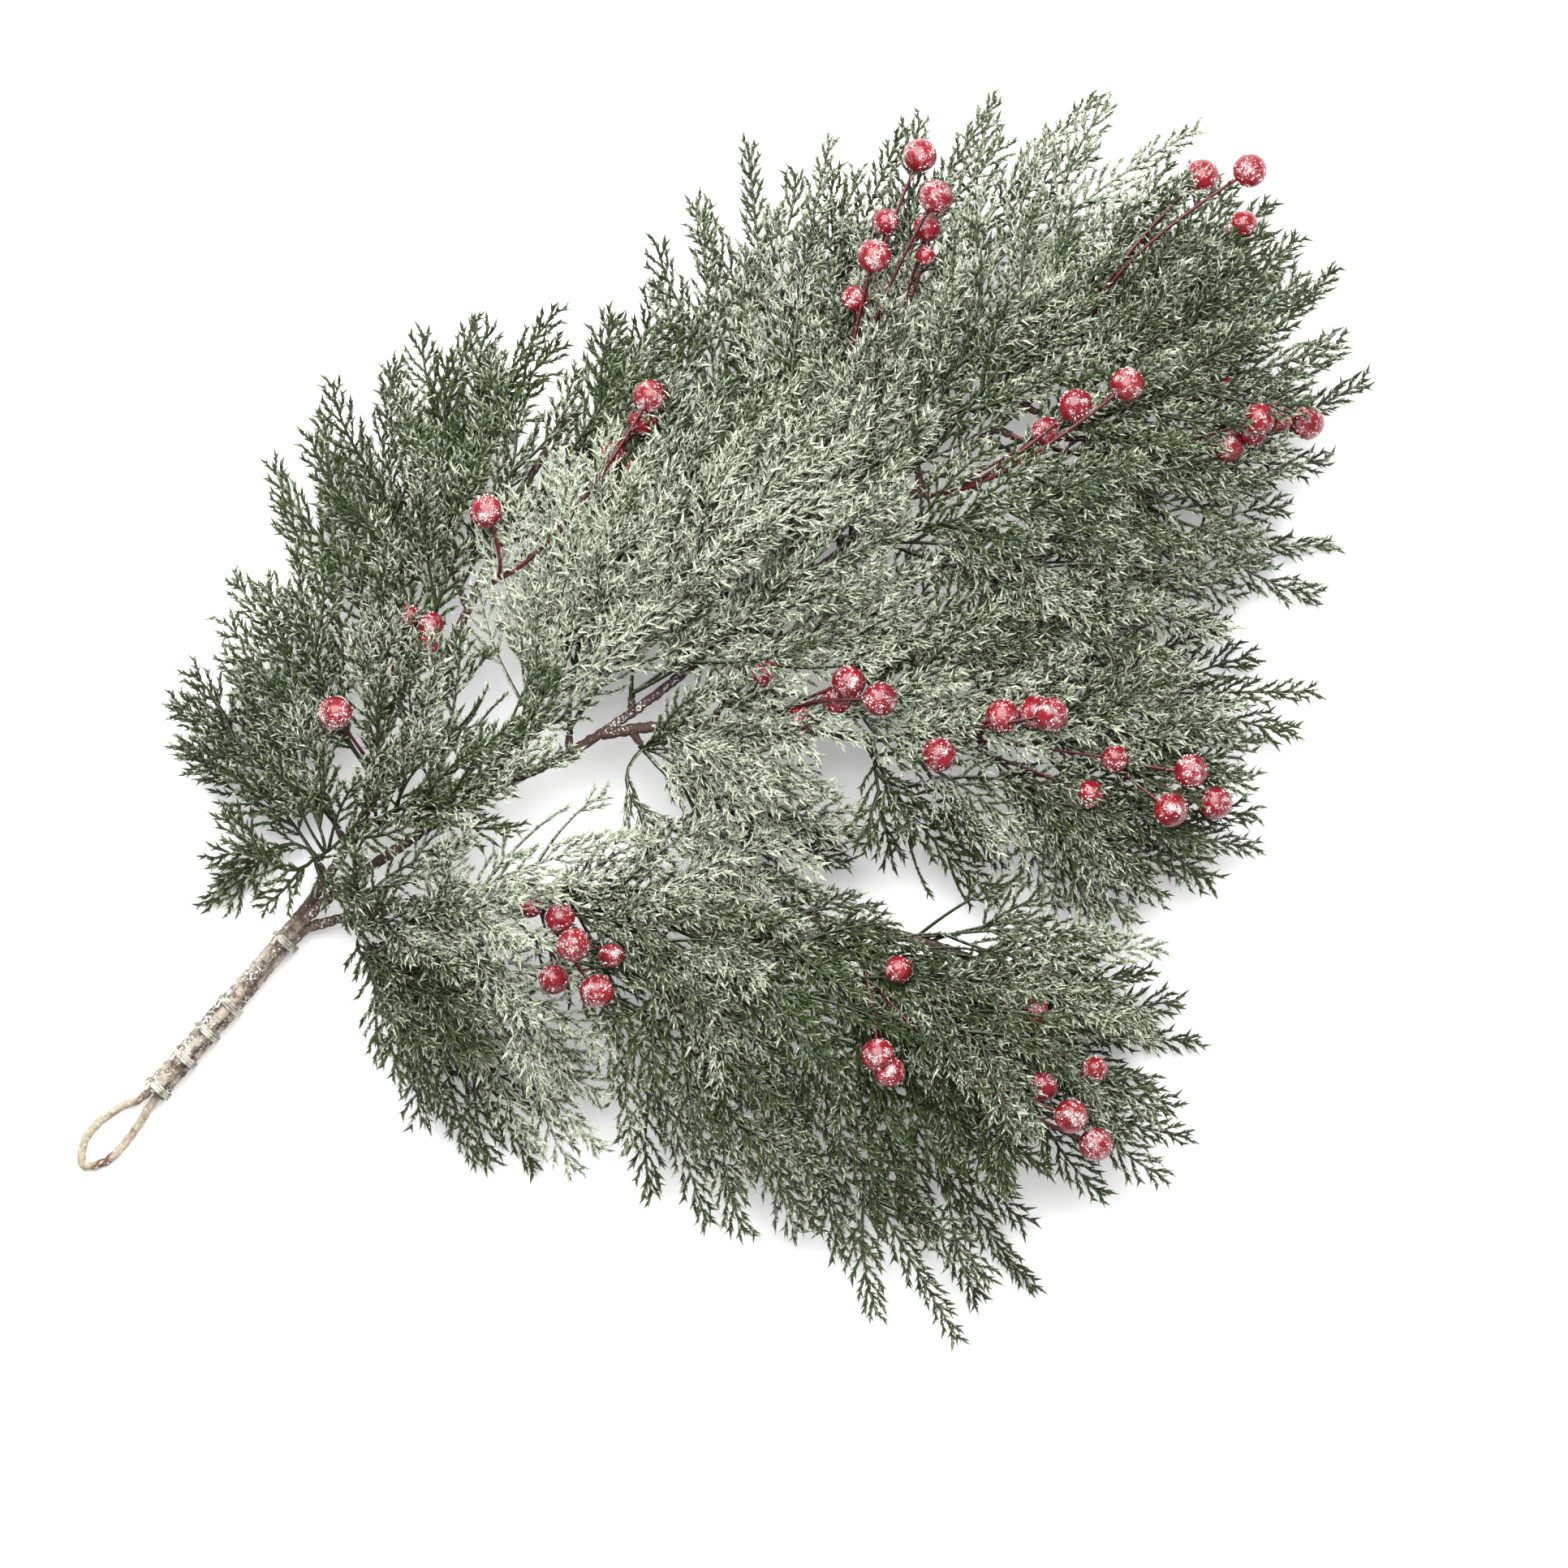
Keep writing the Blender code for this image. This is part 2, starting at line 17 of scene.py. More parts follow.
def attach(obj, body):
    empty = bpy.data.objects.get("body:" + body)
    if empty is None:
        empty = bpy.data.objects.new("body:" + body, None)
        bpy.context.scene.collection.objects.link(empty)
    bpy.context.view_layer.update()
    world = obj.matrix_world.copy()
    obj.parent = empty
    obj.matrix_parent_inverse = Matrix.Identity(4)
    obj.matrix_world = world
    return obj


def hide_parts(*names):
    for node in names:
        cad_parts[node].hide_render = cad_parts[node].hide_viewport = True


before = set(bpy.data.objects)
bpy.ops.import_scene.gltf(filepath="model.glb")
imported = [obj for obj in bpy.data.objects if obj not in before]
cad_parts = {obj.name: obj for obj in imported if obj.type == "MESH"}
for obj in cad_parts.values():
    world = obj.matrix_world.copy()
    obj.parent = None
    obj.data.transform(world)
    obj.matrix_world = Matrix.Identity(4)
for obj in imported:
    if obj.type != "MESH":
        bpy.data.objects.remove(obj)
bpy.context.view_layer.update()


# Branches: three steel wires in brown paper tape, bound side by side in the handle. The centre one has a
# fork, fused to it. Pegs stand off them, one for each spray and each bunch of berries. The tape's turns show
# as low ridges, and flock has caught on top.

MM = 0.001
PLAN_ORIGIN = Vector((99.0, 166.6877, 0))
STEM_END_Y = -98
FORK_Y = -8
BRANCH_STEP = 15
STEM_RADIUS = 2.3
TIP_RADIUS = 1.6
PEG_LENGTH = 7
PEG_RADII = (1.9, 1.3)
PEG_START = 90
PEG_LEAN = 0.5
TOUCH_GAP = 0.3

# Middle of each wire in the handle, across and up
HANDLE = {"left": (-2.6, 8.9), "centre": (0, 13.4), "right": (2.6, 8.9)}

# Middles (x, y, z) of each branch above the handle, as it is bent by hand
BRANCHES = {
    "left": [(-3.5, 12, 13), (-8, 38, 20), (-16, 75, 30), (-25, 110, 37), (-33, 140, 41), (-42, 168, 42),
             (-48, 195, 42), (-51, 222, 40)],
    "centre": [(3, 12, 20), (11, 45, 29), (21, 80, 38), (33, 105, 43), (42, 130, 45), (49, 160, 46),
               (58, 210, 46), (68, 255, 46), (76, 300, 46), (84, 345, 45), (88, 385, 43)],
    "right": [(14, 8, 14), (28, 28, 21), (55, 58, 31), (85, 86, 37), (115, 104, 39), (145, 124, 39),
              (175, 143, 37), (205, 157, 35), (236, 165, 33)],
    "fork": [(42, 130, 45), (56, 146, 44), (72, 161, 43), (100, 183, 42), (125, 200, 42), (148, 222, 41),
             (168, 245, 39), (183, 263, 37)],
}

# Each spray: its branch, how far along it stands, and the tip (x, y, z) and half width of each of its fronds
SPRAYS = {
    "spray_left_01": ("left", 22, [(-34, -27, 0, 14), (-94, 25, 20, 18)]),
    "spray_left_02": ("left", 38, [(-86, 52, 10, 22)]),
    "spray_left_03": ("left", 50, [(-26, 124, 56, 18), (12, 146, 64, 18)]),
    "spray_left_04": ("left", 66, [(-110, 80, 26, 22), (-98, 106, 50, 18)]),
    "spray_left_05": ("left", 94, [(-127, 152, 0, 22)]),
    "spray_left_06": ("left", 122, [(-117, 188, 44, 22)]),
    "spray_left_07": ("left", 148, [(-106, 222, 16, 20), (-82, 246, 48, 20)]),
    "spray_left_08": ("left", 176, [(-60, 280, 26, 22)]),
    "spray_left_09": ("left", 200, [(-34, 280, 48, 20)]),
    "spray_centre_01": ("centre", 112, [(-44, 202, 66, 22)]),
    "spray_centre_02": ("centre", 134, [(-18, 248, 40, 20), (10, 288, 72, 22)]),
    "spray_centre_03": ("centre", 164, [(42, 284, 82, 22)]),
    "spray_centre_04": ("centre", 224, [(-62, 312, 52, 20), (-4, 312, 30, 20)]),
    "spray_centre_05": ("centre", 250, [(-70, 348, 0, 20), (-44, 368, 54, 20)]),
    "spray_centre_06": ("centre", 270, [(-26, 393, 30, 20)]),
    "spray_centre_07": ("centre", 290, [(-5, 424, 54, 20)]),
    "spray_centre_08": ("centre", 310, [(24, 453, 28, 20)]),
    "spray_centre_09": ("centre", 332, [(63, 467, 56, 22)]),
    "spray_centre_10": ("centre", 384, [(104, 468, 0, 20)]),
    "spray_centre_11": ("centre", 362, [(141, 461, 54, 20)]),
    "spray_centre_12": ("centre", 342, [(180, 438, 26, 22)]),
    "spray_centre_13": ("centre", 320, [(182, 393, 58, 20), (214, 381, 0, 20)]),
    "spray_centre_14": ("centre", 282, [(196, 356, 46, 20), (200, 328, 16, 20)]),
    "spray_fork_01": ("fork", 12, [(150, 156, 24, 20)]),
    "spray_fork_02": ("fork", 44, [(98, 266, 60, 22)]),
    "spray_fork_03": ("fork", 84, [(194, 303, 62, 20), (158, 299, 30, 20)]),
    "spray_fork_04": ("fork", 106, [(205, 184, 18, 20)]),
    "spray_fork_05": ("fork", 140, [(246, 330, 26, 20)]),
    "spray_fork_06": ("fork", 170, [(240, 299, 50, 18), (270, 268, 22, 20)]),
    "spray_fork_07": ("fork", 150, [(258, 245, 10, 20), (252, 213, 34, 20)]),
    "spray_right_01": ("right", 18, [(135, -20, 0, 18)]),
    "spray_right_02": ("right", 40, [(150, 4, 34, 20), (96, 24, 54, 20)]),
    "spray_right_03": ("right", 84, [(148, 108, 56, 20)]),
    "spray_right_04": ("right", 110, [(202, 10, 24, 22)]),
    "spray_right_05": ("right", 136, [(236, 38, 44, 22)]),
    "spray_right_06": ("right", 158, [(260, 42, 16, 20)]),
    "spray_right_07": ("right", 184, [(308, 41, 30, 20)]),
    "spray_right_08": ("right", 214, [(320, 75, 0, 20), (290, 116, 46, 20)]),
    "spray_right_09": ("right", 262, [(325, 162, 28, 20)]),
    "spray_right_10": ("right", 236, [(304, 194, 0, 20), (270, 202, 40, 20)]),
}

# Each bunch of berries: its branch, how far along it stands, and the middles (x, y, z) of its berries
BERRY_RADIUS = 6.8
BUNCHES = {
    "berries_left_low": ("left", 70, [(-43, 67, 60)]),
    "berries_left_high": ("left", 158, [(-50, 167, 66), (-31, 244, 62)]),
    "berries_centre_left": ("centre", 276, [(-13, 387, 60), (3, 378, 72), (0, 344, 74)]),
    "berries_centre_top": ("centre", 396, [(90, 468, 66), (77, 455, 54)]),
    "berries_centre_right": ("centre", 348, [(173, 408, 58), (157, 396, 70), (155, 380, 60)]),
    "berries_centre_mid": ("centre", 306, [(109, 371, 82), (99, 352, 72)]),
    "berries_fork_mid": ("fork", 128, [(172, 253, 76), (158, 240, 66), (149, 212, 62)]),
    "berries_fork_low": ("fork", 64, [(117, 213, 76), (103, 210, 66)]),
    "berries_fork_end": ("fork", 188, [(229, 273, 58), (245, 270, 48), (233, 256, 60)]),
    "berries_right_low": ("right", 96, [(89, 60, 72), (108, 52, 64)]),
    "berries_right_end": ("right", 226, [(209, 106, 64), (283, 138, 62), (298, 136, 54)]),
}


def length_of(points):
    return sum((b - a).length for a, b in zip(points, points[1:]))


def at_distance(points, distance):
    """The place on a line at that distance from its start, and the line's direction there."""
    for a, b in zip(points, points[1:]):
        span = (b - a).length
        if distance <= span:
            break
        distance -= span
    else:
        distance = span
    return a.lerp(b, distance / span), (b - a).normalized()


def even_line(points, step):
    """The same line with its points spaced evenly, about step apart."""
    total = length_of(points)
    count = max(1, round(total / step))
    return [at_distance(points, total * i / count)[0] for i in range(count + 1)]


def smooth_line(points, step):
    """A smooth line through the points, with a point about every step."""
    ends = [2 * points[0] - points[1], *points, 2 * points[-1] - points[-2]]
    fine = []
    for a, b, c, d in zip(ends, ends[1:], ends[2:], ends[3:]):
        for i in range(12):
            t = i / 12
            fine.append(0.5 * (2 * b + (c - a) * t + (2 * a - 5 * b + 4 * c - d) * t * t
                               + (3 * b - 3 * c + d - a) * t ** 3))
    fine.append(points[-1])
    return even_line(fine, step)


def peg_of(branch, distance, tips):
    """A peg's root on the branch's middle line, and its direction: out to the tips, and a little forward."""
    start = 0 if branch == "fork" else PEG_START
    root, ahead = at_distance(lines[branch], start + distance)
    middle = sum((Vector(tip[:3]) for tip in tips), Vector()) / len(tips)
    out = middle - root
    out -= ahead * out.dot(ahead)
    out = (out.normalized() + PEG_LEAN * ahead).normalized()
    return root, out


def new_tree(name, sockets):
    """An empty tree with a geometry going in and out, and the named inputs."""
    tree = bpy.data.node_groups.new(name, "GeometryNodeTree")
    tree.interface.new_socket("Geometry", in_out="INPUT", socket_type="NodeSocketGeometry")
    for label, kind in sockets.items():
        tree.interface.new_socket(label, in_out="INPUT", socket_type="NodeSocket" + kind)
    tree.interface.new_socket("Geometry", in_out="OUTPUT", socket_type="NodeSocketGeometry")
    return tree


def add(tree, kind, settings=None, **wires):
    """A node with its settings. Its inputs, by name or as i0, i1 and so on, are linked to sockets or set."""
    node = tree.nodes.new(kind)
    for key, value in (settings or {}).items():
        setattr(node, key, value)
    for key, value in wires.items():
        if key[0] == "i" and key[1:].isdigit():
            socket = node.inputs[int(key[1:])]
        else:
            socket = next(s for s in node.inputs if s.name == key.replace("_", " ") and s.enabled)
        if isinstance(value, bpy.types.NodeSocket):
            tree.links.new(value, socket)
        else:
            socket.default_value = value
    return node


def stored(tree, geometry, label, value):
    """The geometry with the value kept on its points under that name."""
    node = add(tree, "GeometryNodeStoreNamedAttribute", {"data_type": "FLOAT", "domain": "POINT"},
               Geometry=geometry, Name=label, Value=value)
    return node.outputs[0]


def read(tree, label):
    return add(tree, "GeometryNodeInputNamedAttribute", {"data_type": "FLOAT"}, Name=label).outputs[0]


def worked(tree, operation, a, b=0.0, c=0.0):
    """The outcome of one sum."""
    return add(tree, "ShaderNodeMath", {"operation": operation}, i0=a, i1=b, i2=c).outputs[0]


def pushed(tree, geometry, distance):
    """The surface pushed outwards by that distance, and shaded smooth."""
    normal = add(tree, "GeometryNodeInputNormal").outputs[0]
    offset = add(tree, "ShaderNodeVectorMath", {"operation": "SCALE"}, i0=normal, i3=distance).outputs[0]
    moved = add(tree, "GeometryNodeSetPosition", Geometry=geometry, Offset=offset).outputs[0]
    return add(tree, "GeometryNodeSetShadeSmooth", i0=moved).outputs[0]


def realized(tree, geometry, material):
    """Real geometry in that material."""
    real = add(tree, "GeometryNodeRealizeInstances", Geometry=geometry).outputs[0]
    return add(tree, "GeometryNodeSetMaterial", Geometry=real, Material=material).outputs[0]


def grown(source, tree, name, **values):
    """Runs the tree on the source, and gives a plain mesh object in the source's place."""
    live = source.modifiers.new("grow", "NODES")
    live.node_group = tree
    labels = {item.name: item.identifier for item in tree.interface.items_tree if item.in_out == "INPUT"}
    for label, value in values.items():
        live[labels[label]] = value
    bpy.context.view_layer.update()
    mesh = bpy.data.meshes.new_from_object(source.evaluated_get(bpy.context.evaluated_depsgraph_get()))
    mesh.name = name
    source.modifiers.remove(live)
    bpy.data.objects.remove(source)
    return new_object(name, mesh)


def new_object(name, data):
    """A new object of that mesh, lamp or camera, put into the scene."""
    made = bpy.data.objects.new(name, data)
    bpy.context.scene.collection.objects.link(made)
    return made


def marked(mesh, label, values):
    """Keeps one number for each point of the mesh."""
    mesh.attributes.new(label, "FLOAT", "POINT").data.foreach_set("value", values)


def wires_of(name, paths):
    """Edges along paths of plan points, marked with how thick, how needled and how frosted each point is.

    A path is its points, its radius and its share of needles at both ends, and its frost.
    """
    places, edges, thick, leafy, frost = [], [], [], [], []
    for points, radii, needles, white in paths:
        first = len(places)
        last = len(points) - 1
        for i, p in enumerate(points):
            places.append((p - PLAN_ORIGIN) * MM)
            thick.append((radii[0] + (radii[1] - radii[0]) * i / last) * MM)
            leafy.append(needles[0] + (needles[1] - needles[0]) * i / last)
            frost.append(white)
        edges += [(first + i, first + i + 1) for i in range(last)]
    mesh = bpy.data.meshes.new(name)
    mesh.from_pydata(places, edges, [])
    for label, values in (("thick", thick), ("leafy", leafy), ("frost", frost)):
        marked(mesh, label, values)
    return new_object(name, mesh)


def new_material(name):
    material = bpy.data.materials.new(name)
    material.use_nodes = True
    return material, material.node_tree, material.node_tree.nodes["Principled BSDF"]


def mixed(tree, share, a, b):
    """One colour blended into another by a share."""
    node = add(tree, "ShaderNodeMix", {"data_type": "RGBA"}, i0=share)
    for socket, value in ((node.inputs[6], a), (node.inputs[7], b)):
        if isinstance(value, bpy.types.NodeSocket):
            tree.links.new(value, socket)
        else:
            socket.default_value = (*value, 1)
    return node.outputs[2]


def ramped(tree, value, low, high, to_low=0.0, to_high=1.0):
    """The value eased from one range into another, and held at its ends."""
    node = add(tree, "ShaderNodeMapRange", {"interpolation_type": "SMOOTHSTEP"}, Value=value)
    for key, number in zip((1, 2, 3, 4), (low, high, to_low, to_high)):
        node.inputs[key].default_value = number
    return node.outputs[0]


def noise_of(tree, scale, detail=2.0, roughness=0.5):
    """Random mottling from 0 to 1, with about scale spots a metre."""
    spot = add(tree, "ShaderNodeTexCoord").outputs["Object"]
    node = add(tree, "ShaderNodeTexNoise", Vector=spot, Scale=scale, Detail=detail, Roughness=roughness)
    return node.outputs[0]


def facing_up(tree):
    """How far the surface faces up, from -1 to 1."""
    normal = add(tree, "ShaderNodeNewGeometry").outputs["Normal"]
    return add(tree, "ShaderNodeSeparateXYZ", i0=normal).outputs[2]


def bumped(tree, shader, height, strength, distance):
    node = add(tree, "ShaderNodeBump", Height=height, Strength=strength, Distance=distance)
    tree.links.new(node.outputs[0], shader.inputs["Normal"])


lines = {}
for name, beyond in BRANCHES.items():
    straight = []
    if name in HANDLE:
        x, z = HANDLE[name]
        straight = [Vector((x, y, z)) for y in (STEM_END_Y, (STEM_END_Y + FORK_Y) / 2, FORK_Y)]
    lines[name] = smooth_line(straight + [Vector(p) for p in beyond], BRANCH_STEP)
pegs = {name: peg_of(*where) for name, where in (SPRAYS | BUNCHES).items()}

BROWN = [(0.018, 0.009, 0.007), (0.08, 0.038, 0.029)]
TAN = [(0.07, 0.045, 0.03), (0.36, 0.3, 0.23)]
FLOCK_DUST = (0.6, 0.6, 0.56)
# Where the tan of the handle gives way to brown, in metres along the frame
TAN_ENDS = (-0.196, -0.160)
bark_skin, tree, shader = new_material("frosted_bark_tape")
spot = add(tree, "ShaderNodeTexCoord").outputs["Object"]
ahead = add(tree, "ShaderNodeSeparateXYZ", i0=spot).outputs[1]
on_handle = ramped(tree, ahead, *TAN_ENDS, 1, 0)
brown = mixed(tree, noise_of(tree, scale=70, detail=3), *BROWN)
tan = mixed(tree, ramped(tree, noise_of(tree, scale=150, detail=5, roughness=0.65), 0.42, 0.6), *TAN)
dust = worked(tree, "MULTIPLY_ADD", facing_up(tree), 0.16, noise_of(tree, scale=1000, detail=4))
dust = worked(tree, "MULTIPLY_ADD", noise_of(tree, scale=90), 0.5, dust)
dust = worked(tree, "MULTIPLY_ADD", on_handle, 0.07, dust)
dust = ramped(tree, dust, 0.95, 1.12)
bark = mixed(tree, on_handle, brown, tan)
tree.links.new(mixed(tree, dust, bark, FLOCK_DUST), shader.inputs["Base Color"])
shader.inputs["Roughness"].default_value = 0.85
bumped(tree, shader, worked(tree, "ADD", noise_of(tree, scale=700, detail=4), dust), 0.6, 0.0006)

RING_SPACING = 0.0012
tape_tree = new_tree("tape_round_wire", {"Sides": "Int", "Pitch": "Float", "Ridge": "Float",
                                         "Lumps": "Float", "Material": "Material"})
given = add(tape_tree, "NodeGroupInput").outputs
curve = add(tape_tree, "GeometryNodeMeshToCurve", Mesh=given["Geometry"]).outputs[0]
curve = add(tape_tree, "GeometryNodeResampleCurve", {"mode": "LENGTH"}, Curve=curve,
            Length=RING_SPACING).outputs[0]
curve = stored(tape_tree, curve, "along", add(tape_tree, "GeometryNodeSplineParameter").outputs["Length"])
ring = add(tape_tree, "GeometryNodeCurvePrimitiveCircle", Resolution=given["Sides"], Radius=1.0).outputs[0]
ring = stored(tape_tree, ring, "round", add(tape_tree, "GeometryNodeSplineParameter").outputs["Factor"])
tube = add(tape_tree, "GeometryNodeCurveToMesh", Curve=curve, Profile_Curve=ring,
           Scale=read(tape_tree, "thick"), Fill_Caps=True).outputs[0]
turns = worked(tape_tree, "DIVIDE", read(tape_tree, "along"), given["Pitch"])
turns = worked(tape_tree, "ADD", turns, read(tape_tree, "round"))
wave = worked(tape_tree, "SINE", worked(tape_tree, "MULTIPLY", turns, math.tau))
bumps = add(tape_tree, "ShaderNodeTexNoise", Scale=330.0, Detail=2.0).outputs[0]
rise = worked(tape_tree, "MULTIPLY", wave, given["Ridge"])
rise = worked(tape_tree, "MULTIPLY_ADD", bumps, given["Lumps"], rise)
rise = worked(tape_tree, "MULTIPLY_ADD", given["Lumps"], -0.5, rise)
tube = realized(tape_tree, pushed(tape_tree, tube, rise), given["Material"])
add(tape_tree, "NodeGroupOutput", Geometry=tube)

for branch in ("left", "centre", "right"):
    name = "branch_" + branch
    own = (branch, "fork") if branch == "centre" else (branch,)
    paths = [(lines[line], (STEM_RADIUS, TIP_RADIUS), (0, 0), 0) for line in own]
    for owner, (root, out) in pegs.items():
        if (SPRAYS | BUNCHES)[owner][0] in own:
            peg = [root, root + out * PEG_LENGTH / 2, root + out * PEG_LENGTH]
            paths.append((peg, PEG_RADII, (0, 0), 0))
    wood = grown(wires_of(name + "_wires", paths), tape_tree, name + "_wood", Sides=12, Pitch=0.0042,
                 Ridge=0.00018, Lumps=0.0014, Material=bark_skin)
    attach(wood, "root")
    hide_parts(name)


# Hanging loop: one steel wire in tan paper tape, bent back on itself into an eye. Both legs are bound under
# the stems of the handle, and the eye lies flat on the ground.

LEG_X = 2.1
LEG_Z = 4.6
LEG_PLACES = (-22, -60, -100)
LEG_RADIUS = 1.8
LOOP_WIRE_RADIUS = 1.7
EYE_Z = 1.9
LOOP_PLAN = [(-6.2, -110), (-9.2, -122), (-8.4, -132), (-2.5, -139.5), (3.4, -132), (4.4, -122), (3.4, -110)]
BEIGE = [(0.2, 0.16, 0.1), (0.5, 0.43, 0.32)]
BROWN_BLOTCH = (0.11, 0.055, 0.032)
LOOP_DUST = (0.56, 0.55, 0.48)
loop_skin, tree, shader = new_material("tan_paper_tape")
blotch = ramped(tree, noise_of(tree, scale=75, detail=4), 0.5, 0.62)
beige = mixed(tree, noise_of(tree, scale=420, detail=3), *BEIGE)
beige = mixed(tree, blotch, beige, BROWN_BLOTCH)
dust = ramped(tree, noise_of(tree, scale=800, detail=4), 0.55, 0.7)
tree.links.new(mixed(tree, dust, beige, LOOP_DUST), shader.inputs["Base Color"])
shader.inputs["Roughness"].default_value = 0.8
bumped(tree, shader, noise_of(tree, scale=900, detail=4), 0.6, 0.0005)

left_leg = [Vector((-LEG_X, y, LEG_Z)) for y in LEG_PLACES]
right_leg = [Vector((LEG_X, y, LEG_Z)) for y in reversed(LEG_PLACES)]
eye = [Vector((x, y, EYE_Z)) for x, y in LOOP_PLAN]
bent = [Vector((p.x, p.y, max(p.z, EYE_Z))) for p in smooth_line(left_leg + eye + right_leg, 3)]
paths = [(bent, (LOOP_WIRE_RADIUS, LOOP_WIRE_RADIUS), (0, 0), 0)]
loop = grown(wires_of("loop_wires", paths), tape_tree, "loop_tape", Sides=14, Pitch=0.005, Ridge=0.00016,
             Lumps=0.0008, Material=loop_skin)
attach(loop, "root")
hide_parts("hanging_loop")


# Ties: soft pale wire, wound two and a half times round the five wires of the handle, with its end twisted
# off at the side. They hold the branches and the loop together.

TIE_PLACES = [-17, -51, -65, -79, -95]
TIE_WIDTH = 2.8
TIE_LIFT = 0.75
TIE_WIRE_RADII = (0.62, 0.55)
POINTS_A_TURN = 24
TIE_TURNS = 2.5
START_ANGLE = -0.55
HANDLE_MIDDLE_Z = 8
TWIST_POINTS = 6
TWIST_STEP_ANGLE = 1.6
TWIST_RADIUS = 0.5
TWIST_STEP_OUT = 0.5
TWIST_STEP_ALONG = -0.9
PALE_WIRE = [(0.2, 0.19, 0.15), (0.5, 0.49, 0.42)]
tie_skin, tree, shader = new_material("pale_tie_wire")
worn = ramped(tree, noise_of(tree, scale=300, detail=3), 0.4, 0.6)
tree.links.new(mixed(tree, worn, *PALE_WIRE), shader.inputs["Base Color"])
shader.inputs["Roughness"].default_value = 0.7
bumped(tree, shader, noise_of(tree, scale=1200), 0.4, 0.0003)

bound = [(Vector((x, 0, LEG_Z)), LEG_RADIUS) for x in (-LEG_X, LEG_X)]
bound += [(Vector((x, 0, z)), STEM_RADIUS) for x, z in HANDLE.values()]
for number, y in enumerate(TIE_PLACES):
    wound = []
    last = round(TIE_TURNS * POINTS_A_TURN)
    for k in range(last + 1):
        turn = math.tau * k / POINTS_A_TURN + START_ANGLE
        away = Vector((math.cos(turn), 0, math.sin(turn)))
        centre, radius = max(bound, key=lambda wire: wire[0].dot(away) + wire[1])
        lap = y - TIE_WIDTH / 2 + TIE_WIDTH * k / last
        wound.append(centre + away * (radius + TIE_LIFT) + Vector((0, lap, 0)))
    aside = Vector((wound[-1].x, 0, wound[-1].z - HANDLE_MIDDLE_Z)).normalized()
    twisted = []
    for k in range(1, TWIST_POINTS + 1):
        angle = k * TWIST_STEP_ANGLE
        coil = Vector((math.sin(angle), 0, math.cos(angle))) * TWIST_RADIUS
        along = Vector((0, TWIST_STEP_ALONG * k, 0))
        twisted.append(wound[-1] + aside * (TWIST_STEP_OUT * k) + along + coil)
    name = f"tie_{number + 1}"
    paths = [(wound + twisted, TIE_WIRE_RADII, (0, 0), 0)]
    tie = grown(wires_of(name + "_wires", paths), tape_tree, name + "_wire", Sides=8, Pitch=0.003,
                Ridge=0.00004, Lumps=0.0002, Material=tie_skin)
    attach(tie, "root")
    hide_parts(name)


# Sprays: moulded green plastic fronds with short needles, sprayed with glue and white flock from above. Each
# is pushed onto its peg, and bends over to its tips, clear of what stands there before it. The flock lies
# thickest on what faces up and leaves the undersides green. It thins towards the needles' roots and on the
# lower fronds, partly as real flock and partly as painted shade in the depths, and the green darkens towards
# the needles' roots as painted shade.

CELL = 2.5
PEG_RADIUS = 1.4
COLLAR_LENGTH = 5
COLLAR_RADIUS = 1.8
LINE_STEP = 1.5
BEND_SHARE = 0.42
LIFTS = range(-36, 55, 6)
SWAYS = range(-24, 25, 8)
TIP_RAISES = (0, 4, -4, 8, -8)
FROND_START = 1.6
FROND_START_STEP = 0.7


class Room:
    """Keeps pieces apart: each takes the small cells that it runs through, and later ones stay a cell away.

    An owner is a node's name and the number of its frond. A whole node's cells are free to its own fronds.
    """

    def __init__(self):
        self.cells = {}

    def clear(self, points, own, whole_node=False):
        for p in points:
            x, y, z = (math.floor(c / CELL) for c in p)
            for i, j, k in product((-1, 0, 1), repeat=3):
                other = self.cells.get((x + i, y + j, z + k), own)
                if other != own and not (whole_node and other[0] == own[0]):
                    return False
        return True

    def take(self, points, owner):
        for p in points:
            self.cells.setdefault(tuple(math.floor(c / CELL) for c in p), owner)


def skin(points, radius):
    """Points in and on a round stem."""
    offsets = [Vector(c) * radius * 0.6 for c in product((-1, 0, 1), repeat=3)]
    return [p + o for p in even_line(points, LINE_STEP) for o in offsets]


def ball(middle, radius):
    """Points in and on a berry."""
    offsets = [Vector(c) * radius / 3 for c in product(range(-3, 4), repeat=3)]
    return [middle + o for o in offsets if o.length <= radius * 1.01]


def bent_line(foot, leaving, tip, bow):
    """A line that leaves the foot along its direction and bends over to the tip."""
    bend = foot + leaving * (tip - foot).length * BEND_SHARE + bow
    return [foot.lerp(bend, t).lerp(bend.lerp(tip, t), t) for t in (i / 12 for i in range(13))]


def clear_line(room, own, foot, leaving, tip):
    """The least bowed line to the tip that keeps clear of what stands there."""
    side = (tip - foot).cross(Vector((0, 0, 1))).normalized()
    bows = sorted(product(LIFTS, SWAYS, TIP_RAISES),
                  key=lambda b: abs(b[0]) + 1.5 * abs(b[1]) + 2 * abs(b[2]))
    for lift, sway, raised in bows:
        end = tip + Vector((0, 0, raised)) if tip.z > 0 else tip
        line = bent_line(foot, leaving, end, Vector((0, 0, lift)) + side * sway)
        if min(p.z for p in line[:-1]) > 1 and room.clear(even_line(line, LINE_STEP)[4:], own, True):
            return line
    return None


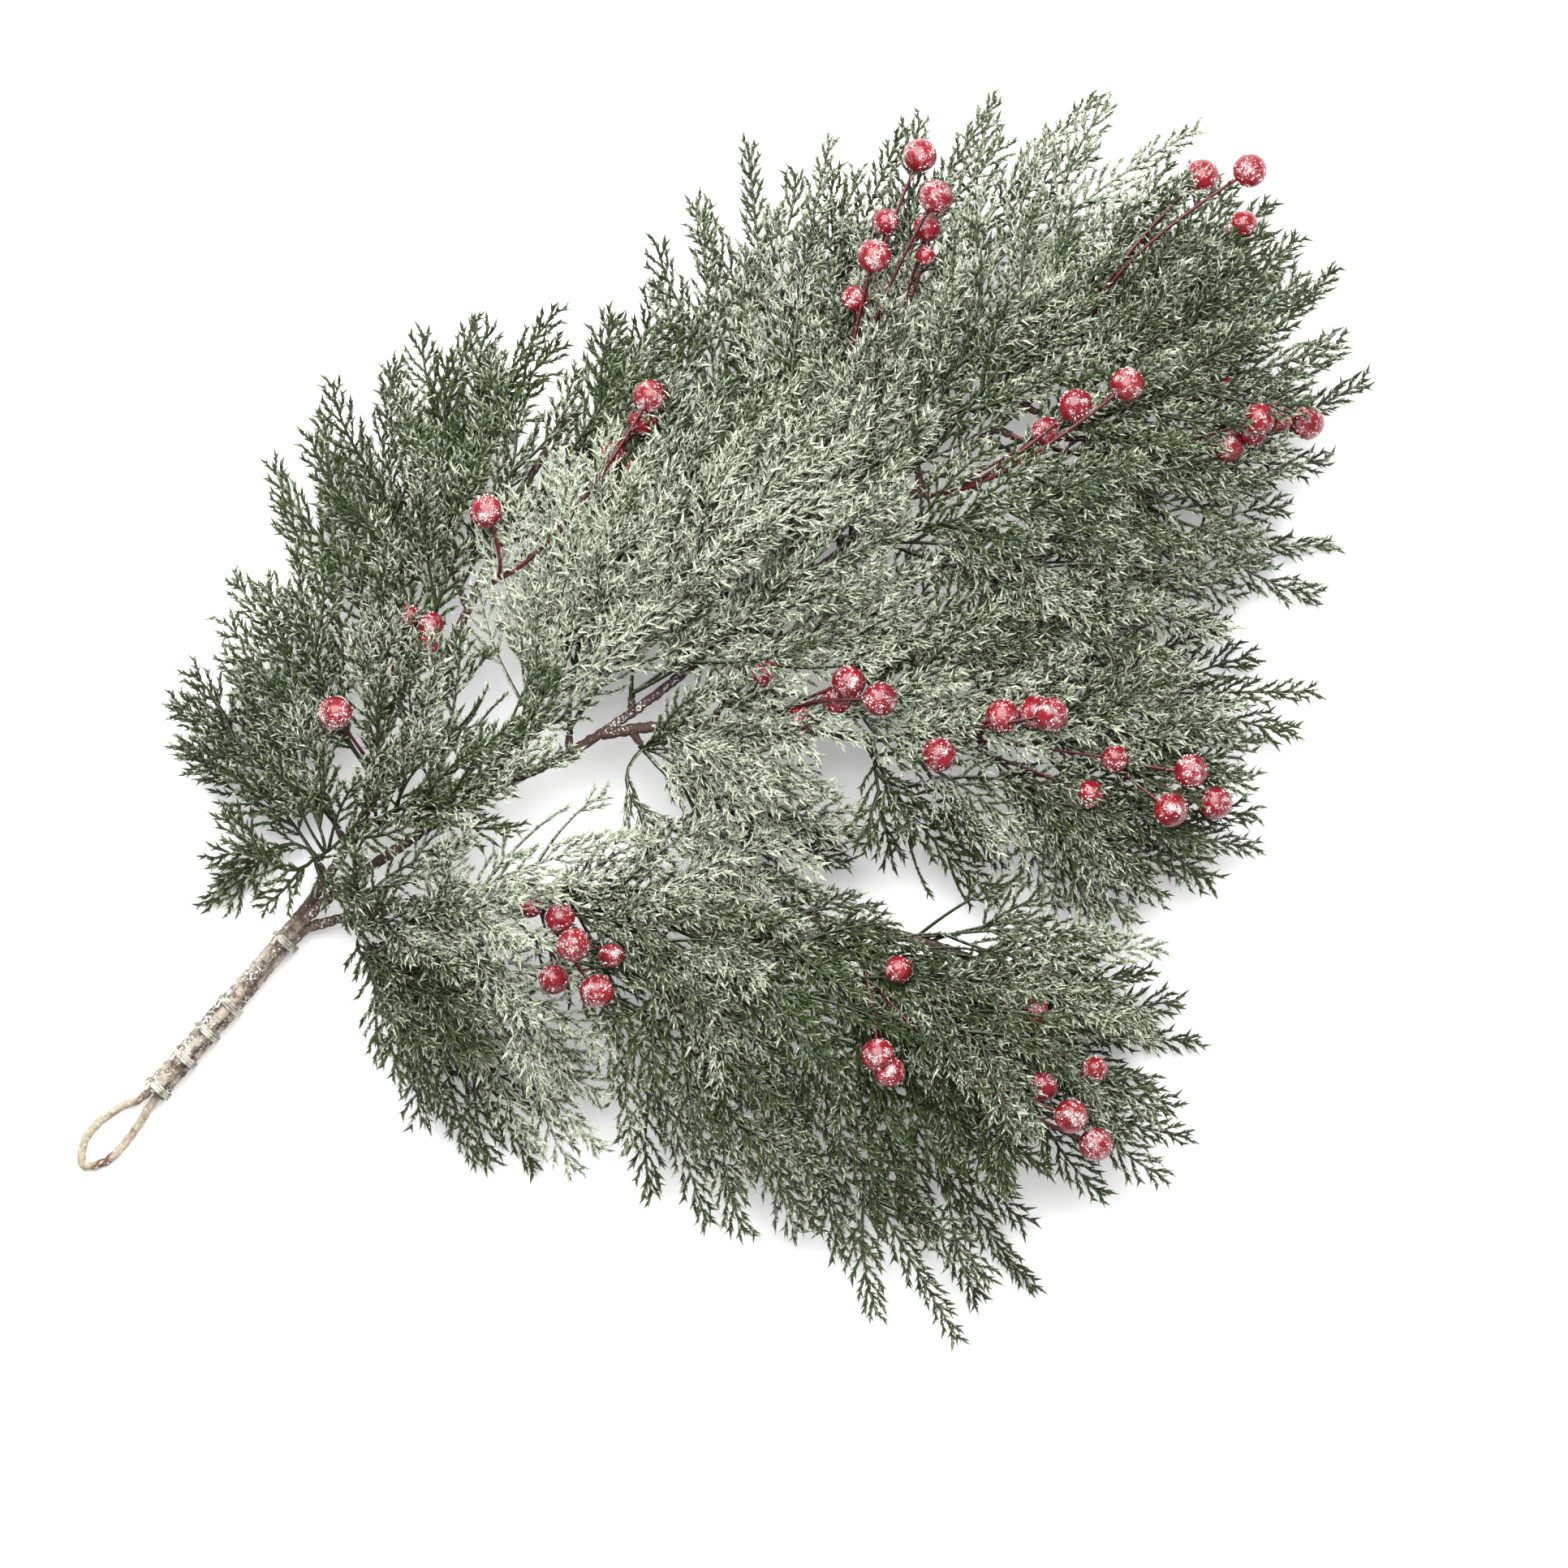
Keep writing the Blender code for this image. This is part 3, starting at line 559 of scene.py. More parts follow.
feet = {name: root + out * (PEG_LENGTH + TOUCH_GAP) for name, (root, out) in pegs.items()}
room = Room()
for line in lines.values():
    room.take(skin(line, STEM_RADIUS), ("branches", 0))
for name, (root, out) in pegs.items():
    room.take(skin([root, root + out * PEG_LENGTH], PEG_RADIUS), ("branches", 0))
    room.take(skin([feet[name], feet[name] + out * COLLAR_LENGTH], COLLAR_RADIUS), (name, 0))
for name, (_, _, berries) in BUNCHES.items():
    for berry in berries:
        room.take(ball(Vector(berry), BERRY_RADIUS), (name, 0))
stalks = {name: [] for name in BUNCHES}
fronds = {name: [] for name in SPRAYS}
for name, (_, _, ends) in (BUNCHES | SPRAYS).items():
    out = pegs[name][1]
    for number, (x, y, z, *width) in enumerate(ends):
        start = feet[name] + out * (FROND_START + FROND_START_STEP * number)
        line = clear_line(room, (name, number), start, out, Vector((x, y, z)))
        room.take(even_line(line, LINE_STEP), (name, number))
        if width:
            fronds[name].append((line, width[0]))
        else:
            stalks[name].append(line)

GREEN = [(0.004, 0.009, 0.001), (0.068, 0.112, 0.012)]
FLOCK = [(0.25, 0.29, 0.195), (0.53, 0.57, 0.45)]
needle_skin, tree, shader = new_material("frosted_needles_with_painted_shade")
flock_and_height_shade_mark = add(tree, "ShaderNodeAttribute", {"attribute_name": "frost"}).outputs["Fac"]
tip_mark = add(tree, "ShaderNodeAttribute", {"attribute_name": "tip"}).outputs["Fac"]
# More flock on what faces up. Through the frost mark the cover also thins on lower shoots, and it thins
# towards each needle's root: partly real flock, partly painted shade in the depths.
flock_and_depth_shade = worked(tree, "MULTIPLY_ADD", facing_up(tree), 0.34, flock_and_height_shade_mark)
flock_and_depth_shade = worked(tree, "MULTIPLY_ADD", tip_mark, 0.46, flock_and_depth_shade)
flock_and_depth_shade = worked(tree, "MULTIPLY_ADD", noise_of(tree, scale=60, detail=3), 0.6, flock_and_depth_shade)
flock_and_depth_shade = worked(tree, "ADD", noise_of(tree, scale=900, detail=3), flock_and_depth_shade)
flock_and_depth_shade = ramped(tree, flock_and_depth_shade, 1.17, 1.6)
# The green darkens towards each needle's root: painted shade between the needles, over a random tone.
green_tone_and_root_shade = worked(tree, "MULTIPLY_ADD", noise_of(tree, scale=22), 0.6, -0.16)
green_tone_and_root_shade = worked(tree, "MULTIPLY_ADD", tip_mark, 0.6, green_tone_and_root_shade)
flock = mixed(tree, ramped(tree, noise_of(tree, scale=1500), 0.35, 0.65), *FLOCK)
tree.links.new(mixed(tree, flock_and_depth_shade, mixed(tree, green_tone_and_root_shade, *GREEN), flock), shader.inputs["Base Color"])
tree.links.new(ramped(tree, flock_and_depth_shade, 0, 1, 0.5, 0.95), shader.inputs["Roughness"])
bumped(tree, shader, worked(tree, "MULTIPLY", noise_of(tree, scale=1400, detail=3), flock_and_depth_shade), 0.8, 0.0006)

GOLDEN_TURN = 2.39996


def random_between(tree, low, high, seed):
    node = add(tree, "FunctionNodeRandomValue", {"data_type": "FLOAT"}, Seed=seed)
    node.inputs[2].default_value = low
    node.inputs[3].default_value = high
    return node.outputs[1]


def scaled_by(tree, size):
    """A scale that is the same along all three axes."""
    return add(tree, "ShaderNodeCombineXYZ", X=size, Y=size, Z=size).outputs[0]


def turned(tree, aim, turn):
    """The rotation with a further turn about its own axes."""
    further = add(tree, "FunctionNodeEulerToRotation", Euler=turn).outputs[0]
    return add(tree, "FunctionNodeRotateRotation", {"rotation_space": "LOCAL"}, Rotation=aim,
               Rotate_By=further).outputs[0]


needle_tree = new_tree("needles_along_twigs", {"Needle": "Object", "Spacing": "Float", "Lean": "Float",
                                                "Seed": "Int", "Material": "Material"})
given = add(needle_tree, "NodeGroupInput").outputs
curve = add(needle_tree, "GeometryNodeMeshToCurve", Mesh=given["Geometry"]).outputs[0]
outline = add(needle_tree, "GeometryNodeCurvePrimitiveCircle", Resolution=3, Radius=1.0).outputs[0]
twigs = add(needle_tree, "GeometryNodeCurveToMesh", Curve=curve, Profile_Curve=outline,
            Scale=read(needle_tree, "thick"), Fill_Caps=True).outputs[0]
dots = add(needle_tree, "GeometryNodeCurveToPoints", {"mode": "LENGTH"}, Curve=curve,
           Length=given["Spacing"])
number = add(needle_tree, "GeometryNodeInputIndex").outputs[0]
jitter = random_between(needle_tree, -0.35, 0.35, given["Seed"])
about = worked(needle_tree, "MULTIPLY_ADD", number, GOLDEN_TURN, jitter)
lean = worked(needle_tree, "MULTIPLY_ADD", jitter, 0.5, given["Lean"])
spin = add(needle_tree, "ShaderNodeCombineXYZ", Z=about).outputs[0]
tilt = add(needle_tree, "ShaderNodeCombineXYZ", X=lean).outputs[0]
aim = turned(needle_tree, turned(needle_tree, dots.outputs["Rotation"], spin), tilt)
size = random_between(needle_tree, 0.75, 1.15, 3)
size = worked(needle_tree, "MULTIPLY", size, read(needle_tree, "leafy"))
leafed = add(needle_tree, "FunctionNodeCompare", {"data_type": "FLOAT", "operation": "GREATER_THAN"},
             i0=read(needle_tree, "leafy"), i1=0.2).outputs[0]
needle = add(needle_tree, "GeometryNodeObjectInfo", Object=given["Needle"]).outputs["Geometry"]
needles = add(needle_tree, "GeometryNodeInstanceOnPoints", Points=dots.outputs[0], Selection=leafed,
              Instance=needle, Rotation=aim, Scale=scaled_by(needle_tree, size)).outputs[0]
joined = add(needle_tree, "GeometryNodeJoinGeometry")
needle_tree.links.new(twigs, joined.inputs[0])
needle_tree.links.new(needles, joined.inputs[0])
add(needle_tree, "NodeGroupOutput", Geometry=realized(needle_tree, joined.outputs[0], given["Material"]))


def scale_shape(name, sides, radius, length, middle, tip):
    """A slim pointed scale, standing on its root, with each point marked by how near the tip it is."""
    shape = bmesh.new()
    bmesh.ops.create_cone(shape, cap_ends=True, segments=sides, radius1=radius, radius2=0, depth=length,
                          matrix=Matrix.Translation((0, 0, middle)))
    bmesh.ops.remove_doubles(shape, verts=shape.verts, dist=0.00001)
    if sides > 3:
        root = min(shape.faces, key=lambda face: face.normal.z)
        bmesh.ops.poke(shape, faces=[root])["verts"][0].co = (0, 0, 0)
    mesh = bpy.data.meshes.new(name)
    shape.to_mesh(mesh)
    shape.free()
    marked(mesh, "tip", [v.co.z / tip for v in mesh.vertices])
    return new_object(name, mesh)


RACHIS_STEP = 5
RACHIS_RADII = (1.0, 0.45)
RACHIS_ROLL = 0.45
BARE_FOOT = 0.1
SHOOT_RADII = (0.6, 0.35)
SHOOT_SPACING = 3.2
SHOOT_ANGLE = 41
SHOOT_NARROWING = 13
SHOOT_LEAST = 3
SHOOT_BEND = 0.45
FORK_SPACING = 21
LONGEST_FORK = 52
FORK_BARE_FOOT = 0.08
FORK_WIDTH = 0.85
EVEN_FROST = 0.05
FLOCK_AND_SHADE_FROM_HEIGHT = 40
FLOCK_AND_SHADE_BY_HEIGHT = 230
NEEDLE_SPACING = 0.00118
NEEDLE_LEAN = 0.56
SPRIG_SIDES = (-133, 331)
SPRIG_END = 481
FROND_HEIGHTS = (4.4, 84)
GROWTH_SEED = 11

# Where the white ground shows between the sprays: plan place and half widths, across and along
GAPS = [(-2, 116, 10, 17), (8, 82, 7, 3), (-3, 65, 3, 10), (13, 145, 5, 5), (64, 251, 4, 11),
        (62, 130, 8, 15), (46, 96, 14, 16), (121, 89, 7, 6), (187, 165, 25, 15), (136, 300, 4, 5),
        (160, 350, 10, 5), (-18, 27, 9, 8)]


def in_gap(p):
    return any(((p.x - x) / wide) ** 2 + ((p.y - y) / deep) ** 2 < 1 for x, y, wide, deep in GAPS)


def kept_in(p):
    """The point, kept above the ground and within the sprig's own outline."""
    return Vector((min(max(p.x, SPRIG_SIDES[0]), SPRIG_SIDES[1]), min(p.y, SPRIG_END),
                   min(max(p.z, FROND_HEIGHTS[0]), FROND_HEIGHTS[1])))


def side_of(ahead, upward, sign):
    return ahead.cross(upward).normalized() * sign


def bowed(start, through, end, step=5):
    """A smooth path from start to end that passes near a point between."""
    count = max(3, round((end - start).length / step))
    middle = through * 2 - (start + end) / 2
    shares = [k / count for k in range(count + 1)]
    return [kept_in(start.lerp(middle, t).lerp(middle.lerp(end, t), t)) for t in shares]


def leafed_frond(paths, line, width, bare, frost, rng):
    """A rachis with side shoots left and right in turn, longest low down and shorter to the tip."""
    line = [kept_in(p) for p in line]
    roll = rng.uniform(-RACHIS_ROLL, RACHIS_ROLL)
    upward = Vector((math.sin(roll), math.cos(roll) * 0.15, math.cos(roll))).normalized()
    paths.append((even_line(line, RACHIS_STEP), RACHIS_RADII, (0.0, 0.9), frost))
    total = length_of(line)
    count = int(total * (1 - bare) / SHOOT_SPACING)
    for i in range(count):
        up = (i + rng.uniform(0.2, 0.8)) / count
        root, ahead = at_distance(line, total * (bare + (1 - bare) * up))
        side = side_of(ahead, upward, 1 if i % 2 else -1)
        reach = width * min(1, 0.5 + 2 * up) * (1 - up) ** 0.5 * rng.uniform(0.75, 1.15) * 0.8
        reach += SHOOT_LEAST
        angle = math.radians(SHOOT_ANGLE - SHOOT_NARROWING * up + rng.uniform(-7, 7))
        heading = ahead * math.cos(angle) + side * math.sin(angle) + upward * rng.uniform(-0.3, 0.35)
        heading.normalize()
        bend = (heading + ahead * SHOOT_BEND).normalized()
        half = root + heading * reach * 0.5
        end = half + bend * reach * 0.5
        if in_gap(half) or in_gap(end):
            continue
        # Higher shoots carry more flock: partly real flock from above, partly painted shade on the lower
        # fronds.
        high = (end.z - FLOCK_AND_SHADE_FROM_HEIGHT) / FLOCK_AND_SHADE_BY_HEIGHT
        paths.append(([root, kept_in(half), kept_in(end)], SHOOT_RADII, (0.8, 1.0),
                      frost + high + rng.uniform(-0.06, 0.06)))


def side_fronds(line, rng):
    """Smaller fronds that fork off a frond's rachis, left and right in turn, and bend its way."""
    total = length_of(line)
    found = []
    count = max(2, round(total / FORK_SPACING))
    for i in range(count):
        share = 0.08 + 0.62 * (i + rng.uniform(0.2, 0.8)) / count
        root, ahead = at_distance(line, total * share)
        side = side_of(ahead, Vector((0, 0, 1)), 1 if i % 2 else -1)
        angle = math.radians(rng.uniform(22, 34))
        heading = ahead * math.cos(angle) + side * math.sin(angle) + Vector((0, 0, rng.uniform(-0.25, 0.3)))
        reach = min(total * (0.66 - 0.5 * share), LONGEST_FORK) * rng.uniform(0.8, 1.1)
        half = root + heading.normalized() * reach * 0.55
        found.append(bowed(root, half, half + (heading + ahead).normalized() * reach * 0.45))
    return found


# How much more or less flock a spray has than the rest
FROST = {"spray_left_08": -0.16, "spray_left_09": -0.12, "spray_left_07": -0.08, "spray_fork_04": -0.1,
         "spray_centre_01": 0.1, "spray_centre_02": 0.1, "spray_centre_03": 0.08, "spray_centre_04": 0.04,
         "spray_fork_01": 0.1, "spray_fork_02": 0.1, "spray_right_02": 0.1, "spray_right_08": -0.1,
         "spray_right_03": 0.05, "spray_centre_10": -0.12, "spray_centre_11": -0.1, "spray_right_05": -0.12}

# Fronds that fill a spray out where it lies over its branch: through, tip, and half width
FILLED = {
    "spray_left_01": [((-22, 4, 24), (-52, 6, 24), 16), ((-16, 26, 34), (-52, 42, 32), 16),
                      ((-9, 46, 40), (-18, 84, 48), 14), ((4, 12, 30), (24, 24, 36), 12)],
    "spray_left_03": [((-14, 84, 46), (-27, 124, 52), 13), ((8, 84, 50), (24, 124, 58), 14),
                      ((4, 62, 42), (22, 96, 50), 14), ((-2, 50, 40), (12, 80, 48), 13)],
    "spray_left_04": [((-34, 84, 44), (-62, 112, 46), 18)],
    "spray_left_02": [((-45, 34, 30), (-97, 27, 20), 18), ((-34, 44, 36), (-66, 64, 36), 17)],
    "spray_left_05": [((-60, 128, 40), (-102, 128, 34), 18)],
    "spray_left_06": [((-66, 160, 48), (-104, 176, 40), 18)],
    "spray_left_09": [((-44, 232, 50), (-46, 268, 50), 16)],
    "spray_left_07": [((-60, 196, 52), (-92, 206, 44), 18)],
    "spray_centre_01": [((6, 158, 62), (-30, 212, 66), 20), ((0, 168, 66), (-16, 232, 70), 20)],
    "spray_centre_02": [((12, 200, 66), (-14, 268, 66), 20), ((26, 190, 70), (26, 262, 76), 20)],
    "spray_centre_03": [((52, 236, 66), (34, 300, 70), 18), ((58, 214, 70), (62, 292, 70), 18)],
    "spray_centre_04": [((40, 300, 62), (14, 336, 66), 18), ((44, 280, 60), (8, 296, 62), 18)],
    "spray_centre_06": [((52, 338, 64), (20, 380, 66), 18)],
    "spray_centre_05": [((30, 322, 56), (-20, 346, 50), 18)],
    "spray_centre_08": [((64, 360, 66), (46, 412, 60), 18)],
    "spray_centre_09": [((76, 410, 58), (72, 456, 50), 18), ((84, 392, 58), (86, 432, 46), 18)],
    "spray_centre_11": [((108, 392, 66), (124, 440, 58), 18)],
    "spray_centre_10": [((92, 420, 50), (94, 456, 40), 16), ((96, 410, 60), (104, 448, 60), 18),
                        ((112, 418, 52), (122, 462, 44), 18)],
    "spray_centre_12": [((120, 372, 70), (158, 420, 60), 18)],
    "spray_centre_13": [((124, 340, 64), (168, 366, 60), 18)],
    "spray_centre_14": [((118, 290, 62), (166, 306, 56), 18), ((112, 308, 70), (160, 334, 62), 18)],
    "spray_fork_01": [((96, 140, 52), (146, 168, 44), 18), ((76, 166, 56), (104, 178, 58), 16),
                      ((84, 150, 56), (124, 150, 50), 18), ((80, 158, 62), (122, 172, 62), 18),
                      ((66, 150, 58), (94, 158, 64), 16), ((78, 140, 48), (104, 130, 42), 16),
                      ((70, 118, 44), (112, 122, 36), 16)],
    "spray_fork_02": [((84, 178, 60), (124, 198, 62), 15), ((76, 176, 56), (104, 196, 60), 18),
                      ((84, 214, 60), (118, 244, 60), 18)],
    "spray_fork_03": [((118, 204, 58), (152, 218, 60), 14), ((140, 226, 58), (190, 258, 60), 18),
                      ((132, 246, 56), (150, 282, 56), 18)],
    "spray_fork_04": [((140, 186, 52), (166, 166, 40), 18), ((150, 206, 54), (204, 212, 48), 18)],
    "spray_fork_05": [((190, 270, 54), (226, 306, 50), 18)],
    "spray_fork_06": [((206, 266, 52), (246, 284, 46), 17)],
    "spray_fork_07": [((205, 228, 50), (240, 230, 46), 18)],
    "spray_right_01": [((60, -8, 30), (100, -28, 16), 16), ((48, 4, 40), (92, 4, 44), 18),
                       ((26, 14, 34), (52, 38, 44), 15), ((34, 0, 34), (66, 14, 42), 16),
                       ((14, 26, 32), (30, 62, 42), 13), ((40, -2, 24), (72, -20, 18), 15),
                       ((30, 20, 40), (70, 30, 46), 16)],
    "spray_right_02": [((56, 44, 52), (82, 54, 58), 18), ((80, 34, 44), (124, 12, 38), 18),
                       ((50, 62, 50), (78, 108, 54), 18)],
    "spray_right_03": [((104, 104, 54), (152, 142, 50), 18), ((112, 84, 54), (150, 76, 58), 18)],
    "spray_right_04": [((126, 96, 52), (158, 92, 54), 16), ((136, 80, 52), (176, 48, 46), 18)],
    "spray_right_05": [((158, 122, 50), (194, 138, 48), 13), ((176, 100, 54), (216, 74, 52), 18)],
    "spray_right_06": [((186, 132, 46), (224, 138, 46), 13)],
    "spray_right_07": [((214, 126, 50), (258, 92, 48), 18)],
    "spray_right_08": [((240, 136, 64), (276, 124, 68), 18), ((234, 146, 60), (270, 148, 64), 16),
                       ((244, 132, 50), (276, 96, 52), 18)],
    "spray_right_10": [((250, 180, 48), (286, 184, 46), 18), ((214, 176, 46), (240, 196, 46), 16)],
    "spray_right_09": [((270, 156, 46), (306, 142, 40), 18)],
}

needle_shape = scale_shape("needle", sides=3, radius=0.00086, length=0.0048, middle=0.0023, tip=0.0047)
rng = random.Random(GROWTH_SEED)
for number, (name, found) in enumerate(fronds.items()):
    frost = EVEN_FROST + FROST.get(name, 0.0) + rng.uniform(-0.05, 0.05)
    foot, out = feet[name], pegs[name][1]
    collar = [foot, foot + out * COLLAR_LENGTH / 2, foot + out * COLLAR_LENGTH]
    paths = [(collar, (COLLAR_RADIUS, 1.2), (0, 0), frost - 0.2)]
    filled = [(bowed(foot + out * 2, Vector(through), Vector(tip)), width)
              for through, tip, width in FILLED.get(name, [])]
    for line, width in found + filled:
        white = frost + rng.uniform(-0.12, 0.12)
        leafed_frond(paths, line, width, BARE_FOOT, white, rng)
        for forked in side_fronds(line, rng):
            leafed_frond(paths, forked, width * FORK_WIDTH, FORK_BARE_FOOT,
                         white + rng.uniform(-0.09, 0.09), rng)
    spray = grown(wires_of(name + "_wires", paths), needle_tree, name + "_needles", Needle=needle_shape,
                  Spacing=NEEDLE_SPACING, Lean=NEEDLE_LEAN, Seed=number, Material=needle_skin)
    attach(spray, "root")
    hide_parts(name)
bpy.data.objects.remove(needle_shape)


# Berries: foam balls dipped in red lacquer and rolled in white crystals, on red wire stalks with small
# bracts. The stalks of a bunch meet in one foot, which is pushed onto its peg.

RED = [(0.075, 0.002, 0.005), (0.27, 0.006, 0.012)]
PINK_CRUST = (0.66, 0.5, 0.51)
berry_skin, tree, shader = new_material("frosted_lacquer")
crust = worked(tree, "MULTIPLY", facing_up(tree), 0.1)
crust = worked(tree, "MULTIPLY_ADD", noise_of(tree, scale=260, detail=3), 1.1, crust)
crust = worked(tree, "MULTIPLY_ADD", noise_of(tree, scale=1600), 0.9, crust)
crust = ramped(tree, crust, 1.1, 1.36)
red = mixed(tree, noise_of(tree, scale=120), *RED)
tree.links.new(mixed(tree, crust, red, PINK_CRUST), shader.inputs["Base Color"])
tree.links.new(ramped(tree, crust, 0, 1, 0.22, 0.8), shader.inputs["Roughness"])
bumped(tree, shader, crust, 0.7, 0.0004)

CRYSTAL_WHITE = [(0.6, 0.48, 0.48), (0.8, 0.78, 0.79)]
crystal_skin, tree, shader = new_material("white_crystal")
tree.links.new(mixed(tree, noise_of(tree, scale=900, detail=1), *CRYSTAL_WHITE), shader.inputs["Base Color"])
shader.inputs["Roughness"].default_value = 0.35

WIRE_RED = [(0.03, 0.004, 0.005), (0.12, 0.01, 0.012)]
WIRE_FROST = (0.75, 0.66, 0.66)
stalk_skin, tree, shader = new_material("red_wire")
tip_mark = add(tree, "ShaderNodeAttribute", {"attribute_name": "tip"}).outputs["Fac"]
frosting = worked(tree, "MULTIPLY_ADD", tip_mark, 0.2, noise_of(tree, scale=1100, detail=3))
frosting = ramped(tree, frosting, 0.64, 0.84)
red = mixed(tree, noise_of(tree, scale=90), *WIRE_RED)
tree.links.new(mixed(tree, frosting, red, WIRE_FROST), shader.inputs["Base Color"])
shader.inputs["Roughness"].default_value = 0.45
bumped(tree, shader, noise_of(tree, scale=800), 0.4, 0.0004)

berry_tree = new_tree("frosted_berries", {"Crystals": "Float", "Seed": "Int", "Skin": "Material",
                                          "Crystal": "Material"})
given = add(berry_tree, "NodeGroupInput").outputs
round_ball = add(berry_tree, "GeometryNodeMeshIcoSphere", Radius=1.0, Subdivisions=4).outputs[0]
spots = add(berry_tree, "GeometryNodeMeshToPoints", Mesh=given["Geometry"]).outputs[0]
balls = add(berry_tree, "GeometryNodeInstanceOnPoints", Points=spots, Instance=round_ball,
            Scale=scaled_by(berry_tree, read(berry_tree, "thick"))).outputs[0]
balls = add(berry_tree, "GeometryNodeRealizeInstances", Geometry=balls).outputs[0]
lumps = add(berry_tree, "ShaderNodeTexNoise", Scale=160.0, Detail=2.0).outputs[0]
balls = pushed(berry_tree, balls, worked(berry_tree, "MULTIPLY_ADD", lumps, 0.0009, -0.00045))
upness = add(berry_tree, "ShaderNodeSeparateXYZ", i0=add(berry_tree, "GeometryNodeInputNormal").outputs[0])
patches = add(berry_tree, "ShaderNodeTexNoise", Scale=240.0, Detail=3.0).outputs[0]
covering = worked(berry_tree, "MULTIPLY_ADD", upness.outputs[2], 0.06, patches)
covering = add(berry_tree, "ShaderNodeMapRange", Value=covering, i1=0.51, i2=0.66).outputs[0]
scatter = add(berry_tree, "GeometryNodeDistributePointsOnFaces", Mesh=balls, Seed=given["Seed"],
              Density=worked(berry_tree, "MULTIPLY", covering, given["Crystals"]))
grain = add(berry_tree, "GeometryNodeMeshUVSphere", Segments=4, Rings=2, Radius=0.00034).outputs[0]
grains = add(berry_tree, "GeometryNodeInstanceOnPoints", Points=scatter.outputs[0], Instance=grain,
             Rotation=scatter.outputs[2],
             Scale=scaled_by(berry_tree, random_between(berry_tree, 0.5, 1.5, 5))).outputs[0]
joined = add(berry_tree, "GeometryNodeJoinGeometry")
berry_tree.links.new(realized(berry_tree, balls, given["Skin"]), joined.inputs[0])
berry_tree.links.new(realized(berry_tree, grains, given["Crystal"]), joined.inputs[0])
add(berry_tree, "NodeGroupOutput", Geometry=joined.outputs[0])

CRYSTALS_A_SQUARE_METRE = 520000.0
STALK_RADIUS = 0.9
THIN_STALK_RADII = (0.8, 0.7)
STALK_SAG = Vector((0, 0, -6))
BRACT_SPACING = 0.005
BRACT_LEAN = 0.7

# Smaller and half hidden berries of each bunch: plan place, height and radius
SMALLER = {
    "berries_left_low": [(-38, 118, 44, 5.5), (-47, 115, 40, 5), (-33, 110, 46, 5)],
    "berries_left_high": [(-27, 235, 56, 6), (-15, 218, 58, 5.5), (-28, 217, 52, 5.5)],
    "berries_centre_left": [(8, 367, 62, 5.5), (-6, 358, 60, 5.5), (5, 327, 64, 5.5), (15, 358, 62, 4)],
    "berries_centre_top": [(102, 451, 58, 5.5)],
    "berries_centre_right": [(163, 402, 64, 6), (159, 391, 60, 6), (139, 396, 62, 5.5)],
    "berries_centre_mid": [(97, 337, 64, 6)],
    "berries_fork_mid": [(167, 250, 66, 6.8), (203, 257, 56, 5.5), (205, 240, 56, 5.5)],
    "berries_fork_low": [(104, 202, 60, 6), (76, 191, 60, 5.5), (98, 187, 58, 5.5)],
    "berries_right_low": [(78, 64, 58, 6), (65, 60, 54, 5.5), (92, 44, 54, 6), (103, 66, 52, 5)],
    "berries_right_end": [(217, 104, 62, 6.3), (193, 137, 56, 5.5), (267, 140, 58, 6), (278, 158, 52, 5.5),
                          (245, 160, 54, 5.5)],
}

